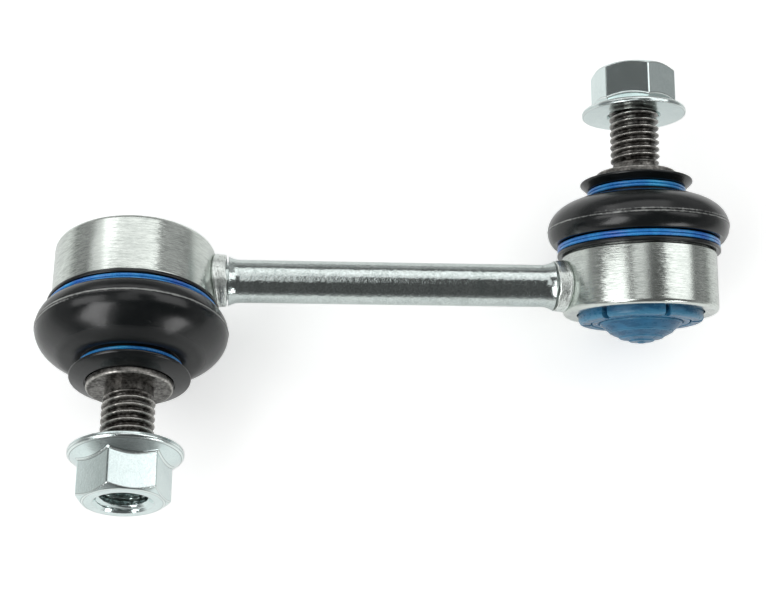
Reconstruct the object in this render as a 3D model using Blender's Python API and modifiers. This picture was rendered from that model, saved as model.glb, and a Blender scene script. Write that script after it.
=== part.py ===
"""Stabilizer link: a round steel rod with a sealed ball joint welded to each end.

Each ball joint is a turned steel housing that holds a plastic bearing shell and a plastic
end cap round the ball of a threaded stud. A rubber boot closes the joint between the housing
and the stud, held by two wound wire rings, and a hexagon flange nut sits on the thread.

Lengths are in metres and the part lies on the plane Z = 0, rod along X, lower end at -X.
The middle of the rod is above the origin. A station is a distance along a stud's own axis,
counted from the centre of its ball towards its nut.
"""

import math

import bpy
from mathutils import Matrix

MM = 0.001

# Clearances
GAP = 0.3 * MM            # between two pieces that seat on each other
RUNNING_GAP = 0.2 * MM    # between the ball and its plastic socket

# Whole link
CENTRE_DISTANCE = 120.0 * MM      # from ball centre to ball centre
STUD_LEAN = math.radians(9.3)     # each stud's angle above the plane that the link lies on

# Rod and its welds
ROD_RADIUS = 5.05 * MM
ROD_FLARE_RISE = 0.8 * MM         # how far the upset end stands out from the rod
ROD_FLARE_LENGTH = 2.8 * MM
ROD_CORE_INSET = 0.65 * MM        # the stub inside the weld is this much thinner than the rod
SADDLE_REACH = 2.6 * MM           # how far stub and weld start inside the housing's radius
WELD_WIDTH = 2.4 * MM             # from the housing's wall to the rod's upset end
WELD_THICKNESS = 1.3 * MM
WELD_EDGE = 0.4 * MM

# Ball and stud
BALL_RADIUS = 11.0 * MM
NECK_RADIUS = 5.25 * MM
SEAT_RADIUS = 9.0 * MM            # cylinder that the boot's collar grips
SEAT_LENGTH = 7.1 * MM
SEAT_FLARE_LENGTH = 4.6 * MM
SHOULDER_STATION = 26.7 * MM      # back of the disc that the clamped lever rests on
SHOULDER_OVERHANG = 0.7 * MM
SHOULDER_THICKNESS = 1.4 * MM
SHOULDER_EDGE = 0.5 * MM
THREAD_RADIUS = 5.94 * MM         # M12
THREAD_LENGTH = 20.9 * MM         # from the disc's face to the end of the stud
THREAD_END_CHAMFER = 1.0 * MM
UNDERCUT_DEPTH = 0.5 * MM
UNDERCUT_LENGTH = 1.5 * MM
UNDERCUT_FILLET = 0.6 * MM

# Plastic bearing shell and end cap
SHELL_WALL = 3.6 * MM
SOCKET_GRIP = 6.2 * MM            # how far past its widest circle the ball is gripped
MOUTH_CHAMFER = 0.8 * MM
SHELL_PROTRUSION = 2.1 * MM       # past the housing's closed end
SHELL_EDGE = 1.0 * MM
SLOT_COUNT = 6
SLOT_WIDTH = 1.2 * MM
SLOT_DEPTH = 4.0 * MM
SLOT_PHASE = math.radians(39.0)
CAP_STATION = 3.6 * MM            # from the ball's centre down to the cap's rim
CAP_RIM = 0.4 * MM                # the cap's wall outside the socket's sphere
CAP_THICKNESS = 2.1 * MM
CAP_EDGE = 0.3 * MM
CAP_RECESS = 0.1 * MM             # the cap's flat rim lies this far inside the shell's end
CAP_GROOVE_WIDTH = 0.35 * MM      # groove between the flat rim and the dome
CAP_GROOVE_DEPTH = 0.4 * MM
DOME_RADIUS = 9.8 * MM
DOME_RISE = 4.4 * MM
DOME_POWER = 2.2
TERRACE_COUNT = 3
TERRACE_WIDTH = 2.3 * MM
TERRACE_RISER = 0.3 * MM
NIPPLE_RADIUS = 1.0 * MM
NIPPLE_HEIGHT = 0.35 * MM
NIPPLE_TAPER = 0.8                # the nipple's tip by its foot

# Housing
HOUSING_WALL = 3.4 * MM
HOUSING_BELOW = 6.7 * MM          # from the ball's centre to the closed end
HOUSING_ABOVE = 7.4 * MM          # from the ball's centre to the boot's shoulder
HOUSING_EDGE = 0.8 * MM           # rounding of the closed end
HOUSING_CHAMFER = 0.3 * MM
BORE_CHAMFER = 0.4 * MM
FLANGE_THICKNESS = 1.5 * MM       # inward flange that keeps the shell in
FLANGE_OVERLAP = 0.8 * MM         # from the shell's mouth to the flange's opening
NECK_INSET = 1.3 * MM             # the boot's neck is this much smaller than the housing
NECK_HEIGHT = 3.2 * MM
NECK_WALL = 4.2 * MM
NECK_GROOVE_DEPTH = 0.7 * MM
NECK_GROOVE_WIDTH = 1.2 * MM
NECK_GROOVE_OFFSET = 1.6 * MM

# Boot
BOOT_WALL = 1.7 * MM
FOOT_WALL = 1.0 * MM
FOOT_LIP_RISE = 1.0 * MM
FOOT_LIP_HEIGHT = 0.9 * MM
BULGE_RISE = 3.2 * MM             # the widest circle above the foot's ring groove
BULGE_FOOT_LENGTH = 4.2 * MM
BULGE_FOOT_STATION = 3.4 * MM     # from the foot's groove to the widest circle
BULGE_CROWN_INSET = 0.3 * MM
COLLAR_WALL = 1.6 * MM
LIP_OVERHANG = 3.8 * MM           # the sealing lip past the disc on the stud
LIP_THICKNESS = 0.45 * MM         # at its rim
LIP_DROP = 0.75 * MM              # from the back of the disc down to the lip's rim
LIP_CONE = 0.8 * MM               # rise of the lip's upper face from its rim to the disc
LIP_SKIRT = 1.5 * MM              # from the rim down to the ring's groove
LIP_ROOT = 1.0 * MM               # the skirt's foot stands out this far from the groove
CROWN_DROP = 0.64 * MM            # from the ring's groove down to the top of the bulge

# Wound wire rings
FOOT_WIRE = 0.8 * MM
COLLAR_WIRE = 0.75 * MM
TURN_GAP = 0.03 * MM              # between the two turns of a ring
RING_PLAY = 0.2 * MM              # between a ring and the sides of its groove
RING_START = math.radians(20.0)
RING_CROSSING = math.radians(30.0)
RING_PHASE = math.radians(-90.0)   # the wire's ends lie on the side near the plane

# Flange nut
THREAD_ENGAGEMENT = 6.2 * MM      # how far the stud reaches into the nut
ACROSS_FLATS = 18.0 * MM
NUT_HEIGHT = 11.6 * MM
NUT_FLANGE_RADIUS = 12.6 * MM
NUT_FLANGE_RIM = 1.2 * MM
NUT_FLANGE_EDGE = 0.3 * MM
NUT_FLANGE_CONE = 2.4 * MM
NUT_END_INSET = 0.3 * MM
NUT_CHAMFER_SLOPE = 0.65
BORE_MOUTH = 0.4 * MM
HEX_REACH = 1.1                   # cutters reach this far past the hexagon's corners
LOWER_HEX_PHASE = math.radians(46.0)
UPPER_HEX_PHASE = math.radians(35.0)

# Facets round a full turn
HOUSING_STEPS = 32
STUD_STEPS = 24
BOOT_STEPS = 24
SHELL_STEPS = 24
CAP_STEPS = 24
ROD_STEPS = 20
NUT_STEPS = 32
RING_STEPS = 20
CUTTER_STEPS = 64
ROD_FLARE_STEPS = 4
EDGE_STEPS = 3
BALL_STEPS = 8
SOCKET_STEPS = 6
SEAT_FLARE_STEPS = 4
CROWN_STEPS = 6
BOOT_FOOT_STEPS = 3
CROWN_LINING_STEPS = 4
FOOT_LINING_STEPS = 2
MERGE = 0.00001
SMOOTH_ANGLE = math.radians(35.0)

# Sizes that follow from those above
SOCKET_RADIUS = BALL_RADIUS + RUNNING_GAP
MOUTH_RADIUS = math.sqrt(SOCKET_RADIUS ** 2 - SOCKET_GRIP ** 2) + MOUTH_CHAMFER
SHELL_RADIUS = SOCKET_RADIUS + SHELL_WALL
BORE_RADIUS = SHELL_RADIUS + GAP
HOUSING_RADIUS = BORE_RADIUS + HOUSING_WALL
SHELL_TOP = SOCKET_GRIP + MOUTH_CHAMFER
SHELL_BOTTOM = -HOUSING_BELOW - SHELL_PROTRUSION
CAP_RADIUS = SOCKET_RADIUS + CAP_RIM
CAP_POCKET_RADIUS = CAP_RADIUS + GAP
CAP_FACE = SHELL_BOTTOM + CAP_RECESS
FLANGE_BOTTOM = SHELL_TOP + GAP
FLANGE_TOP = FLANGE_BOTTOM + FLANGE_THICKNESS
NECK_OUTER = HOUSING_RADIUS - NECK_INSET
NECK_TOP = HOUSING_ABOVE + NECK_HEIGHT
GROOVE_RADIUS = NECK_OUTER - NECK_GROOVE_DEPTH
GROOVE_BOTTOM = HOUSING_ABOVE + NECK_GROOVE_OFFSET
GROOVE_TOP = GROOVE_BOTTOM + NECK_GROOVE_WIDTH
FOOT_BORE = NECK_OUTER + GAP
FOOT_RADIUS = FOOT_BORE + FOOT_WALL
FOOT_BOTTOM = HOUSING_ABOVE + GAP
FOOT_GROOVE_BOTTOM = FOOT_BOTTOM + FOOT_LIP_HEIGHT
FOOT_RING_HEIGHT = 2.0 * FOOT_WIRE + TURN_GAP
FOOT_GROOVE_TOP = FOOT_GROOVE_BOTTOM + FOOT_RING_HEIGHT + 2.0 * RING_PLAY
BULGE_STATION = FOOT_GROOVE_TOP + BULGE_FOOT_STATION
BULGE_RADIUS = FOOT_RADIUS + BULGE_RISE
SEAT_STATION = SHOULDER_STATION - SEAT_LENGTH
SHOULDER_RADIUS = SEAT_RADIUS + SHOULDER_OVERHANG
SHOULDER_FACE = SHOULDER_STATION + SHOULDER_THICKNESS
COLLAR_BORE = SEAT_RADIUS + GAP
COLLAR_RADIUS = COLLAR_BORE + COLLAR_WALL
COLLAR_TOP = SHOULDER_STATION - GAP
LIP_RADIUS = SHOULDER_RADIUS + LIP_OVERHANG
LIP_TOP = SHOULDER_STATION - LIP_DROP
LIP_BOTTOM = LIP_TOP - LIP_THICKNESS
COLLAR_RING_HEIGHT = 2.0 * COLLAR_WIRE + TURN_GAP
COLLAR_GROOVE_TOP = LIP_BOTTOM - LIP_SKIRT
COLLAR_GROOVE_BOTTOM = COLLAR_GROOVE_TOP - COLLAR_RING_HEIGHT - 2.0 * RING_PLAY
STUD_END = SHOULDER_FACE + THREAD_LENGTH
NUT_FACE = STUD_END - THREAD_ENGAGEMENT
NUT_END = NUT_FACE + NUT_HEIGHT
NUT_BORE = THREAD_RADIUS + GAP
WALL_STATION = HOUSING_RADIUS + GAP
WELD_STATION = WALL_STATION + WELD_WIDTH
CORE_RADIUS = ROD_RADIUS - ROD_CORE_INSET
WELD_BORE = CORE_RADIUS + GAP
WELD_RADIUS = WELD_BORE + WELD_THICKNESS
SADDLE_START = HOUSING_RADIUS - SADDLE_REACH


def clear_scene():
    """Remove what the scene holds and return the two collections of this model."""
    for item in list(bpy.data.objects):
        bpy.data.objects.remove(item, do_unlink=True)
    collections = []
    for name in ("stabilizer_link", "cutters"):
        collection = bpy.data.collections.new(name)
        bpy.context.scene.collection.children.link(collection)
        collections.append(collection)
    return collections


PARTS, CUTTERS = clear_scene()


def make_material(name, colour, roughness, metallic):
    """Return a Principled material of one colour."""
    material = bpy.data.materials.new(name)
    material.use_nodes = True
    shader = material.node_tree.nodes["Principled BSDF"]
    shader.inputs["Base Color"].default_value = (*colour, 1.0)
    shader.inputs["Roughness"].default_value = roughness
    shader.inputs["Metallic"].default_value = metallic
    return material


ZINC = make_material("zinc_plated_steel", (0.62, 0.66, 0.64), 0.28, 1.0)
TURNED_STEEL = make_material("turned_steel", (0.66, 0.67, 0.62), 0.35, 1.0)
WELD_STEEL = make_material("weld_steel", (0.45, 0.44, 0.40), 0.60, 1.0)
DARK_STEEL = make_material("dark_steel", (0.16, 0.14, 0.12), 0.45, 1.0)
RUBBER = make_material("black_rubber", (0.03, 0.033, 0.035), 0.50, 0.0)
BLUE_WIRE = make_material("blue_wire", (0.04, 0.20, 0.62), 0.35, 0.0)
BLUE_PLASTIC = make_material("blue_plastic", (0.09, 0.22, 0.38), 0.45, 0.0)


def add_object(name, data, collection, parent=None):
    """Link a new object to a collection, under its parent where it has one."""
    item = bpy.data.objects.new(name, data)
    collection.objects.link(item)
    item.parent = parent
    return item


def make_cutter(item):
    """Show an object as a cutter only."""
    item.hide_render = True
    item.display_type = "WIRE"
    return item


def shade(item, material):
    """Give a piece its material, and smooth its round faces."""
    item.data.materials.clear()
    item.data.materials.append(material)
    item.data.shade_smooth()
    item.data.set_sharp_from_angle(angle=SMOOTH_ANGLE)


def settle(item, material):
    """Turn an object's modifiers into its mesh and finish it."""
    bpy.context.view_layer.update()
    graph = bpy.context.evaluated_depsgraph_get()
    mesh = bpy.data.meshes.new_from_object(item.evaluated_get(graph))
    item.modifiers.clear()
    item.data = mesh
    mesh.name = item.name
    shade(item, material)
    return item


def turn(name, profile, steps, collection, parent=None, closed=False):
    """Turn a profile of (radius, station) points about the local Z axis.

    The outer side of the profile runs from its highest station down to its lowest.
    """
    points = [(radius, 0.0, station) for radius, station in profile]
    edges = [(index, index + 1) for index in range(len(points) - 1)]
    if closed:
        edges.append((len(points) - 1, 0))
    mesh = bpy.data.meshes.new(name)
    mesh.from_pydata(points, edges, [])
    item = add_object(name, mesh, collection, parent)
    screw = item.modifiers.new("turn", "SCREW")
    screw.axis = "Z"
    screw.angle = math.tau
    screw.steps = steps
    screw.render_steps = steps
    screw.use_merge_vertices = True
    screw.merge_threshold = MERGE
    return item


def combine(item, other, operation):
    """Add an exact Boolean of another object to a piece."""
    boolean = item.modifiers.new(operation.lower(), "BOOLEAN")
    boolean.operation = operation
    boolean.solver = "EXACT"
    boolean.object = other


def arc(centre_radius, centre_station, radius, station_radius, start, stop, count):
    """Points of an elliptical arc, its angles counted from the outward radius."""
    points = []
    for index in range(count + 1):
        angle = start + (stop - start) * index / count
        points.append((centre_radius + radius * math.cos(angle),
                       centre_station + station_radius * math.sin(angle)))
    return points


def ball_arc(radius, first_station, last_station, count):
    """Points on a sphere round the ball's centre, from one station to another."""
    start = math.asin(max(-1.0, min(1.0, first_station / radius)))
    stop = math.asin(max(-1.0, min(1.0, last_station / radius)))
    points = arc(0.0, 0.0, radius, radius, start, stop, count)
    return [(abs(across) if abs(across) > MERGE else 0.0, along) for across, along in points]


def flare_radius(share):
    """Radius of the rod's upset end, by the share of its length away from the weld."""
    return ROD_RADIUS + ROD_FLARE_RISE * (1.0 - share) ** 2


def build_rod(height, saddles):
    """The rod, its two ends upset and cut to sit against the housings."""
    half = CENTRE_DISTANCE / 2.0
    face = half - WELD_STATION - GAP
    side = [(0.0, half - SADDLE_START),
            (CORE_RADIUS, half - SADDLE_START),
            (CORE_RADIUS, face)]
    for index in range(ROD_FLARE_STEPS + 1):
        share = index / ROD_FLARE_STEPS
        side.append((flare_radius(share), face - ROD_FLARE_LENGTH * share))
    profile = side + [(radius, -station) for radius, station in reversed(side)]
    rod = turn("rod", profile, ROD_STEPS, PARTS)
    rod.location = (0.0, 0.0, height)
    rod.rotation_euler = (0.0, math.pi / 2.0, 0.0)
    for saddle in saddles:
        combine(rod, saddle, "DIFFERENCE")
    return settle(rod, ZINC)


def build_weld(side, height, saddle):
    """The ring of weld metal round the rod's stub, cut to the housing's round wall."""
    profile = [(WELD_BORE, WELD_STATION),
               (WELD_RADIUS - WELD_EDGE, WELD_STATION),
               (WELD_RADIUS, WELD_STATION - WELD_EDGE),
               (WELD_RADIUS, SADDLE_START),
               (WELD_BORE, SADDLE_START)]
    weld = turn(side.name + "_weld", profile, ROD_STEPS, PARTS, closed=True)
    weld.location = (side.sign * CENTRE_DISTANCE / 2.0, 0.0, height)
    weld.rotation_euler = (0.0, -side.sign * math.pi / 2.0, 0.0)
    combine(weld, saddle, "DIFFERENCE")
    return settle(weld, WELD_STEEL)


def build_housing(side):
    """The turned ring with its boot neck, inward flange and rounded closed end."""
    edge = arc(HOUSING_RADIUS - HOUSING_EDGE, HOUSING_EDGE - HOUSING_BELOW,
               HOUSING_EDGE, HOUSING_EDGE, 0.0, -math.pi / 2.0, EDGE_STEPS)
    profile = [(NECK_OUTER, NECK_TOP),
               (NECK_OUTER, GROOVE_TOP),
               (GROOVE_RADIUS, GROOVE_TOP),
               (GROOVE_RADIUS, GROOVE_BOTTOM),
               (NECK_OUTER, GROOVE_BOTTOM),
               (NECK_OUTER, HOUSING_ABOVE),
               (HOUSING_RADIUS - HOUSING_CHAMFER, HOUSING_ABOVE),
               (HOUSING_RADIUS, HOUSING_ABOVE - HOUSING_CHAMFER)]
    profile += edge
    profile += [(BORE_RADIUS + BORE_CHAMFER, -HOUSING_BELOW),
                (BORE_RADIUS, BORE_CHAMFER - HOUSING_BELOW),
                (BORE_RADIUS, FLANGE_BOTTOM),
                (MOUTH_RADIUS + FLANGE_OVERLAP, FLANGE_BOTTOM),
                (MOUTH_RADIUS + FLANGE_OVERLAP, FLANGE_TOP),
                (NECK_OUTER - NECK_WALL, FLANGE_TOP),
                (NECK_OUTER - NECK_WALL, NECK_TOP)]
    housing = turn(side.name + "_housing", profile, HOUSING_STEPS, PARTS, side.centre, True)
    return settle(housing, TURNED_STEEL)


def build_slots(side):
    """Cutter for the open slots round the shell's lower rim."""
    length = SHELL_RADIUS + GAP - CAP_RADIUS
    middle = CAP_RADIUS + length / 2.0
    blocks = []
    for index in range(SLOT_COUNT):
        angle = SLOT_PHASE + math.tau * index / SLOT_COUNT
        bpy.ops.mesh.primitive_cube_add(size=1.0)
        block = bpy.context.object
        block.data.transform(Matrix.Diagonal((length, SLOT_WIDTH, 2.0 * SLOT_DEPTH, 1.0)))
        block.data.transform(Matrix.Translation((middle, 0.0, SHELL_BOTTOM)))
        block.data.transform(Matrix.Rotation(angle, 4, "Z"))
        blocks.append(block)
    with bpy.context.temp_override(active_object=blocks[0], selected_editable_objects=blocks):
        bpy.ops.object.join()
    cutter = blocks[0]
    cutter.name = side.name + "_slot_cutter"
    for collection in list(cutter.users_collection):
        collection.objects.unlink(cutter)
    CUTTERS.objects.link(cutter)
    cutter.parent = side.centre
    return make_cutter(cutter)


def build_shell(side):
    """The plastic socket that grips the ball, slotted so that it can open for it."""
    split = GAP - CAP_STATION
    socket = ball_arc(SOCKET_RADIUS, split, SOCKET_GRIP, SOCKET_STEPS)
    profile = [(SHELL_RADIUS, SHELL_TOP),
               (SHELL_RADIUS, SHELL_BOTTOM + SHELL_EDGE),
               (SHELL_RADIUS - SHELL_EDGE, SHELL_BOTTOM),
               (CAP_POCKET_RADIUS, SHELL_BOTTOM),
               (CAP_POCKET_RADIUS, split)]
    profile += socket
    profile.append((MOUTH_RADIUS, SHELL_TOP))
    shell = turn(side.name + "_bearing_shell", profile, SHELL_STEPS, PARTS, side.centre, True)
    combine(shell, build_slots(side), "DIFFERENCE")
    return settle(shell, BLUE_PLASTIC)


def dome_station(radius):
    """Station of the end cap's dome at a radius, before its terraces."""
    depth = SOCKET_RADIUS + CAP_THICKNESS
    return DOME_RISE * (radius / DOME_RADIUS) ** DOME_POWER - depth


def build_cap(side):
    """The plastic end cap: a seat for the ball inside, a flat rim and a terraced dome outside."""
    groove_radius = DOME_RADIUS + CAP_GROOVE_WIDTH
    profile = ball_arc(SOCKET_RADIUS, -SOCKET_RADIUS, -CAP_STATION, SOCKET_STEPS)
    profile += [(CAP_RADIUS, -CAP_STATION),
                (CAP_RADIUS, CAP_FACE + CAP_EDGE),
                (CAP_RADIUS - CAP_EDGE, CAP_FACE),
                (groove_radius, CAP_FACE),
                (groove_radius, CAP_FACE + CAP_GROOVE_DEPTH),
                (DOME_RADIUS, CAP_FACE + CAP_GROOVE_DEPTH),
                (DOME_RADIUS, dome_station(DOME_RADIUS))]
    for index in range(1, TERRACE_COUNT + 1):
        radius = DOME_RADIUS - TERRACE_WIDTH * index
        middle = dome_station(radius)
        profile.append((radius + TERRACE_RISER / 2.0, middle + TERRACE_RISER / 2.0))
        profile.append((radius - TERRACE_RISER / 2.0, middle - TERRACE_RISER / 2.0))
    foot = dome_station(NIPPLE_RADIUS)
    profile.append((NIPPLE_RADIUS, foot))
    profile.append((NIPPLE_RADIUS * NIPPLE_TAPER, foot - NIPPLE_HEIGHT))
    profile.append((0.0, foot - NIPPLE_HEIGHT))
    cap = turn(side.name + "_end_cap", profile, CAP_STEPS, PARTS, side.centre)
    return settle(cap, BLUE_PLASTIC)


def seat_flare(share):
    """Point of the stud's flare, by the share of its length down from the seat."""
    bend = 0.5 - 0.5 * math.cos(math.pi * share)
    radius = SEAT_RADIUS + (NECK_RADIUS - SEAT_RADIUS) * bend
    return radius, SEAT_STATION - SEAT_FLARE_LENGTH * share


def build_stud(side):
    """The ball stud: threaded shank, disc, boot seat, neck and ball in one piece."""
    undercut = THREAD_RADIUS - UNDERCUT_DEPTH
    profile = [(0.0, STUD_END),
               (THREAD_RADIUS - THREAD_END_CHAMFER, STUD_END),
               (THREAD_RADIUS, STUD_END - THREAD_END_CHAMFER),
               (THREAD_RADIUS, SHOULDER_FACE + UNDERCUT_LENGTH + UNDERCUT_DEPTH),
               (undercut, SHOULDER_FACE + UNDERCUT_LENGTH),
               (undercut, SHOULDER_FACE + UNDERCUT_FILLET),
               (undercut + UNDERCUT_FILLET, SHOULDER_FACE),
               (SHOULDER_RADIUS - SHOULDER_EDGE, SHOULDER_FACE),
               (SHOULDER_RADIUS, SHOULDER_FACE - SHOULDER_EDGE),
               (SHOULDER_RADIUS, SHOULDER_STATION),
               (SEAT_RADIUS, SHOULDER_STATION)]
    profile += [seat_flare(index / SEAT_FLARE_STEPS) for index in range(SEAT_FLARE_STEPS + 1)]
    neck_start = math.sqrt(BALL_RADIUS ** 2 - NECK_RADIUS ** 2)
    profile += ball_arc(BALL_RADIUS, neck_start, -BALL_RADIUS, BALL_STEPS)
    stud = turn(side.name + "_ball_stud", profile, STUD_STEPS, PARTS, side.centre)
    return settle(stud, DARK_STEEL)


def build_boot(side):
    """The rubber boot: foot bead and lip, bellows bulge, collar and sealing lip."""
    crown_start = COLLAR_GROOVE_BOTTOM - CROWN_DROP
    crown_radius = COLLAR_RADIUS + BULGE_CROWN_INSET
    crown = arc(crown_radius, BULGE_STATION, BULGE_RADIUS - crown_radius,
                crown_start - BULGE_STATION, math.pi / 2.0, 0.0, CROWN_STEPS)
    foot_end = -math.asin(min(1.0, BULGE_FOOT_STATION / BULGE_FOOT_LENGTH))
    foot = arc(FOOT_RADIUS, BULGE_STATION, BULGE_RISE, BULGE_FOOT_LENGTH, 0.0, foot_end,
               BOOT_FOOT_STEPS)[1:]
    inner_radius = BULGE_RADIUS - BOOT_WALL
    inner_top = crown_start - BOOT_WALL
    inner_bottom = FOOT_GROOVE_TOP + GAP
    inner_foot = arc(FOOT_BORE, BULGE_STATION, inner_radius - FOOT_BORE,
                     BULGE_STATION - inner_bottom, -math.pi / 2.0, 0.0, FOOT_LINING_STEPS)
    inner_crown = arc(COLLAR_RADIUS, BULGE_STATION, inner_radius - COLLAR_RADIUS,
                      inner_top - BULGE_STATION, 0.0, math.pi / 2.0, CROWN_LINING_STEPS)[1:]
    bead_radius = GROOVE_RADIUS + GAP
    profile = [(SHOULDER_RADIUS + GAP, LIP_TOP + LIP_CONE),
               (LIP_RADIUS, LIP_TOP),
               (LIP_RADIUS, LIP_BOTTOM),
               (COLLAR_RADIUS + LIP_ROOT, COLLAR_GROOVE_TOP),
               (COLLAR_RADIUS, COLLAR_GROOVE_TOP),
               (COLLAR_RADIUS, crown_start)]
    profile += crown
    profile += foot
    profile += [(FOOT_RADIUS, FOOT_GROOVE_TOP),
                (FOOT_RADIUS, FOOT_GROOVE_BOTTOM),
                (FOOT_RADIUS + FOOT_LIP_RISE, FOOT_GROOVE_BOTTOM),
                (FOOT_RADIUS + FOOT_LIP_RISE, FOOT_BOTTOM),
                (FOOT_BORE, FOOT_BOTTOM),
                (FOOT_BORE, GROOVE_BOTTOM + GAP),
                (bead_radius, GROOVE_BOTTOM + GAP),
                (bead_radius, GROOVE_TOP - GAP),
                (FOOT_BORE, GROOVE_TOP - GAP)]
    profile += inner_foot
    profile += inner_crown
    profile += [(COLLAR_BORE, inner_top),
                (COLLAR_BORE, COLLAR_TOP),
                (SHOULDER_RADIUS + GAP, COLLAR_TOP)]
    boot = turn(side.name + "_boot", profile, BOOT_STEPS, PARTS, side.centre, True)
    return settle(boot, RUBBER)


def build_ring(side, name, wire, groove_radius, groove_bottom, groove_top):
    """A ring wound of two flat turns of wire, with a short crossing between them."""
    radius = groove_radius + GAP + wire / 2.0
    middle = (groove_bottom + groove_top) / 2.0
    rise = wire + TURN_GAP
    crossing = math.tau - RING_CROSSING / 2.0
    finish = 2.0 * math.tau - RING_START
    count = 2 * RING_STEPS
    curve = bpy.data.curves.new(name, "CURVE")
    curve.dimensions = "3D"
    curve.bevel_depth = wire / 2.0
    curve.bevel_resolution = 1
    curve.use_fill_caps = True
    spline = curve.splines.new("POLY")
    spline.points.add(count)
    for index in range(count + 1):
        angle = RING_START + (finish - RING_START) * index / count
        share = min(1.0, max(0.0, (angle - crossing) / RING_CROSSING))
        station = middle + rise * (share * share * (3.0 - 2.0 * share) - 0.5)
        turned = angle + RING_PHASE
        across, up = radius * math.cos(turned), radius * math.sin(turned)
        spline.points[index].co = (across, up, station, 1.0)
    ring = add_object(side.name + "_" + name, curve, PARTS, side.centre)
    bpy.context.view_layer.update()
    graph = bpy.context.evaluated_depsgraph_get()
    mesh = bpy.data.meshes.new_from_object(ring.evaluated_get(graph))
    ring_name = ring.name
    bpy.data.objects.remove(ring, do_unlink=True)
    ring = add_object(ring_name, mesh, PARTS, side.centre)
    weld = ring.modifiers.new("weld", "WELD")
    weld.merge_threshold = MERGE
    return settle(ring, BLUE_WIRE)


def build_nut(side):
    """The flange nut: a chamfered hexagon on a coned round flange, bored through."""
    corner = ACROSS_FLATS / math.sqrt(3.0)
    reach = corner * HEX_REACH
    end_radius = ACROSS_FLATS / 2.0 - NUT_END_INSET
    envelope = [(0.0, NUT_END),
                (end_radius, NUT_END),
                (reach, NUT_END - NUT_CHAMFER_SLOPE * (reach - end_radius)),
                (reach, NUT_FACE),
                (0.0, NUT_FACE)]
    flange = [(0.0, NUT_FACE + NUT_FLANGE_RIM + NUT_FLANGE_CONE),
              (ACROSS_FLATS / 2.0 - NUT_FLANGE_EDGE, NUT_FACE + NUT_FLANGE_RIM + NUT_FLANGE_CONE),
              (NUT_FLANGE_RADIUS - NUT_FLANGE_EDGE, NUT_FACE + NUT_FLANGE_RIM),
              (NUT_FLANGE_RADIUS, NUT_FACE + NUT_FLANGE_RIM - NUT_FLANGE_EDGE),
              (NUT_FLANGE_RADIUS, NUT_FACE + NUT_FLANGE_EDGE),
              (NUT_FLANGE_RADIUS - NUT_FLANGE_EDGE, NUT_FACE),
              (0.0, NUT_FACE)]
    bore = [(0.0, NUT_END + GAP),
            (NUT_BORE + BORE_MOUTH, NUT_END + GAP),
            (NUT_BORE + BORE_MOUTH, NUT_END),
            (NUT_BORE, NUT_END - BORE_MOUTH),
            (NUT_BORE, NUT_FACE + BORE_MOUTH),
            (NUT_BORE + BORE_MOUTH, NUT_FACE),
            (NUT_BORE + BORE_MOUTH, NUT_FACE - GAP),
            (0.0, NUT_FACE - GAP)]
    cutters = []
    for label, profile in (("envelope", envelope), ("flange", flange), ("bore", bore)):
        name = side.name + "_nut_" + label + "_cutter"
        cutters.append(make_cutter(turn(name, profile, NUT_STEPS, CUTTERS, side.centre)))
    bpy.ops.mesh.primitive_cone_add(vertices=6, radius1=corner, radius2=corner,
                                    depth=2.0 * NUT_HEIGHT, end_fill_type="NGON")
    nut = bpy.context.object
    first = nut.data.vertices[0].co
    turned_by = side.hex_phase - math.atan2(first.y, first.x)
    nut.data.transform(Matrix.Rotation(turned_by, 4, "Z"))
    nut.data.transform(Matrix.Translation((0.0, 0.0, NUT_END)))
    nut.name = side.name + "_flange_nut"
    for collection in list(nut.users_collection):
        collection.objects.unlink(nut)
    PARTS.objects.link(nut)
    nut.parent = side.centre
    combine(nut, cutters[0], "INTERSECT")
    combine(nut, cutters[1], "UNION")
    combine(nut, cutters[2], "DIFFERENCE")
    return settle(nut, ZINC)


def rest_height():
    """Height of the rod's axis when housings and boots both lie on a plane."""
    lean, level = math.sin(STUD_LEAN), math.cos(STUD_LEAN)
    housing = (HOUSING_BELOW - HOUSING_EDGE) * lean + HOUSING_EDGE
    housing += (HOUSING_RADIUS - HOUSING_EDGE) * level
    boot = FOOT_RADIUS * level - BULGE_STATION * lean
    boot += math.hypot(BULGE_RISE * level, BULGE_FOOT_LENGTH * lean)
    return max(housing, boot)


class Side:
    """One end of the link: its name, its place along the rod and its ball's centre."""

    def __init__(self, name, sign, hex_phase, height):
        """Set an empty on the ball's centre, its Z axis along the stud."""
        self.name = name
        self.sign = sign
        self.hex_phase = hex_phase
        self.centre = add_object(name + "_ball_centre", None, PARTS)
        self.centre.empty_display_size = BALL_RADIUS
        self.centre.location = (sign * CENTRE_DISTANCE / 2.0, 0.0, height)
        half_turn = math.pi if sign > 0 else 0.0
        self.centre.rotation_euler = (math.pi / 2.0 - STUD_LEAN, 0.0, half_turn)


def build_saddle(side):
    """Cutter that leaves the rod and the weld clear of the housing's round wall."""
    reach = HOUSING_RADIUS
    profile = [(0.0, reach), (WALL_STATION, reach), (WALL_STATION, -reach), (0.0, -reach)]
    name = side.name + "_saddle_cutter"
    return make_cutter(turn(name, profile, CUTTER_STEPS, CUTTERS, side.centre))


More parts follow.
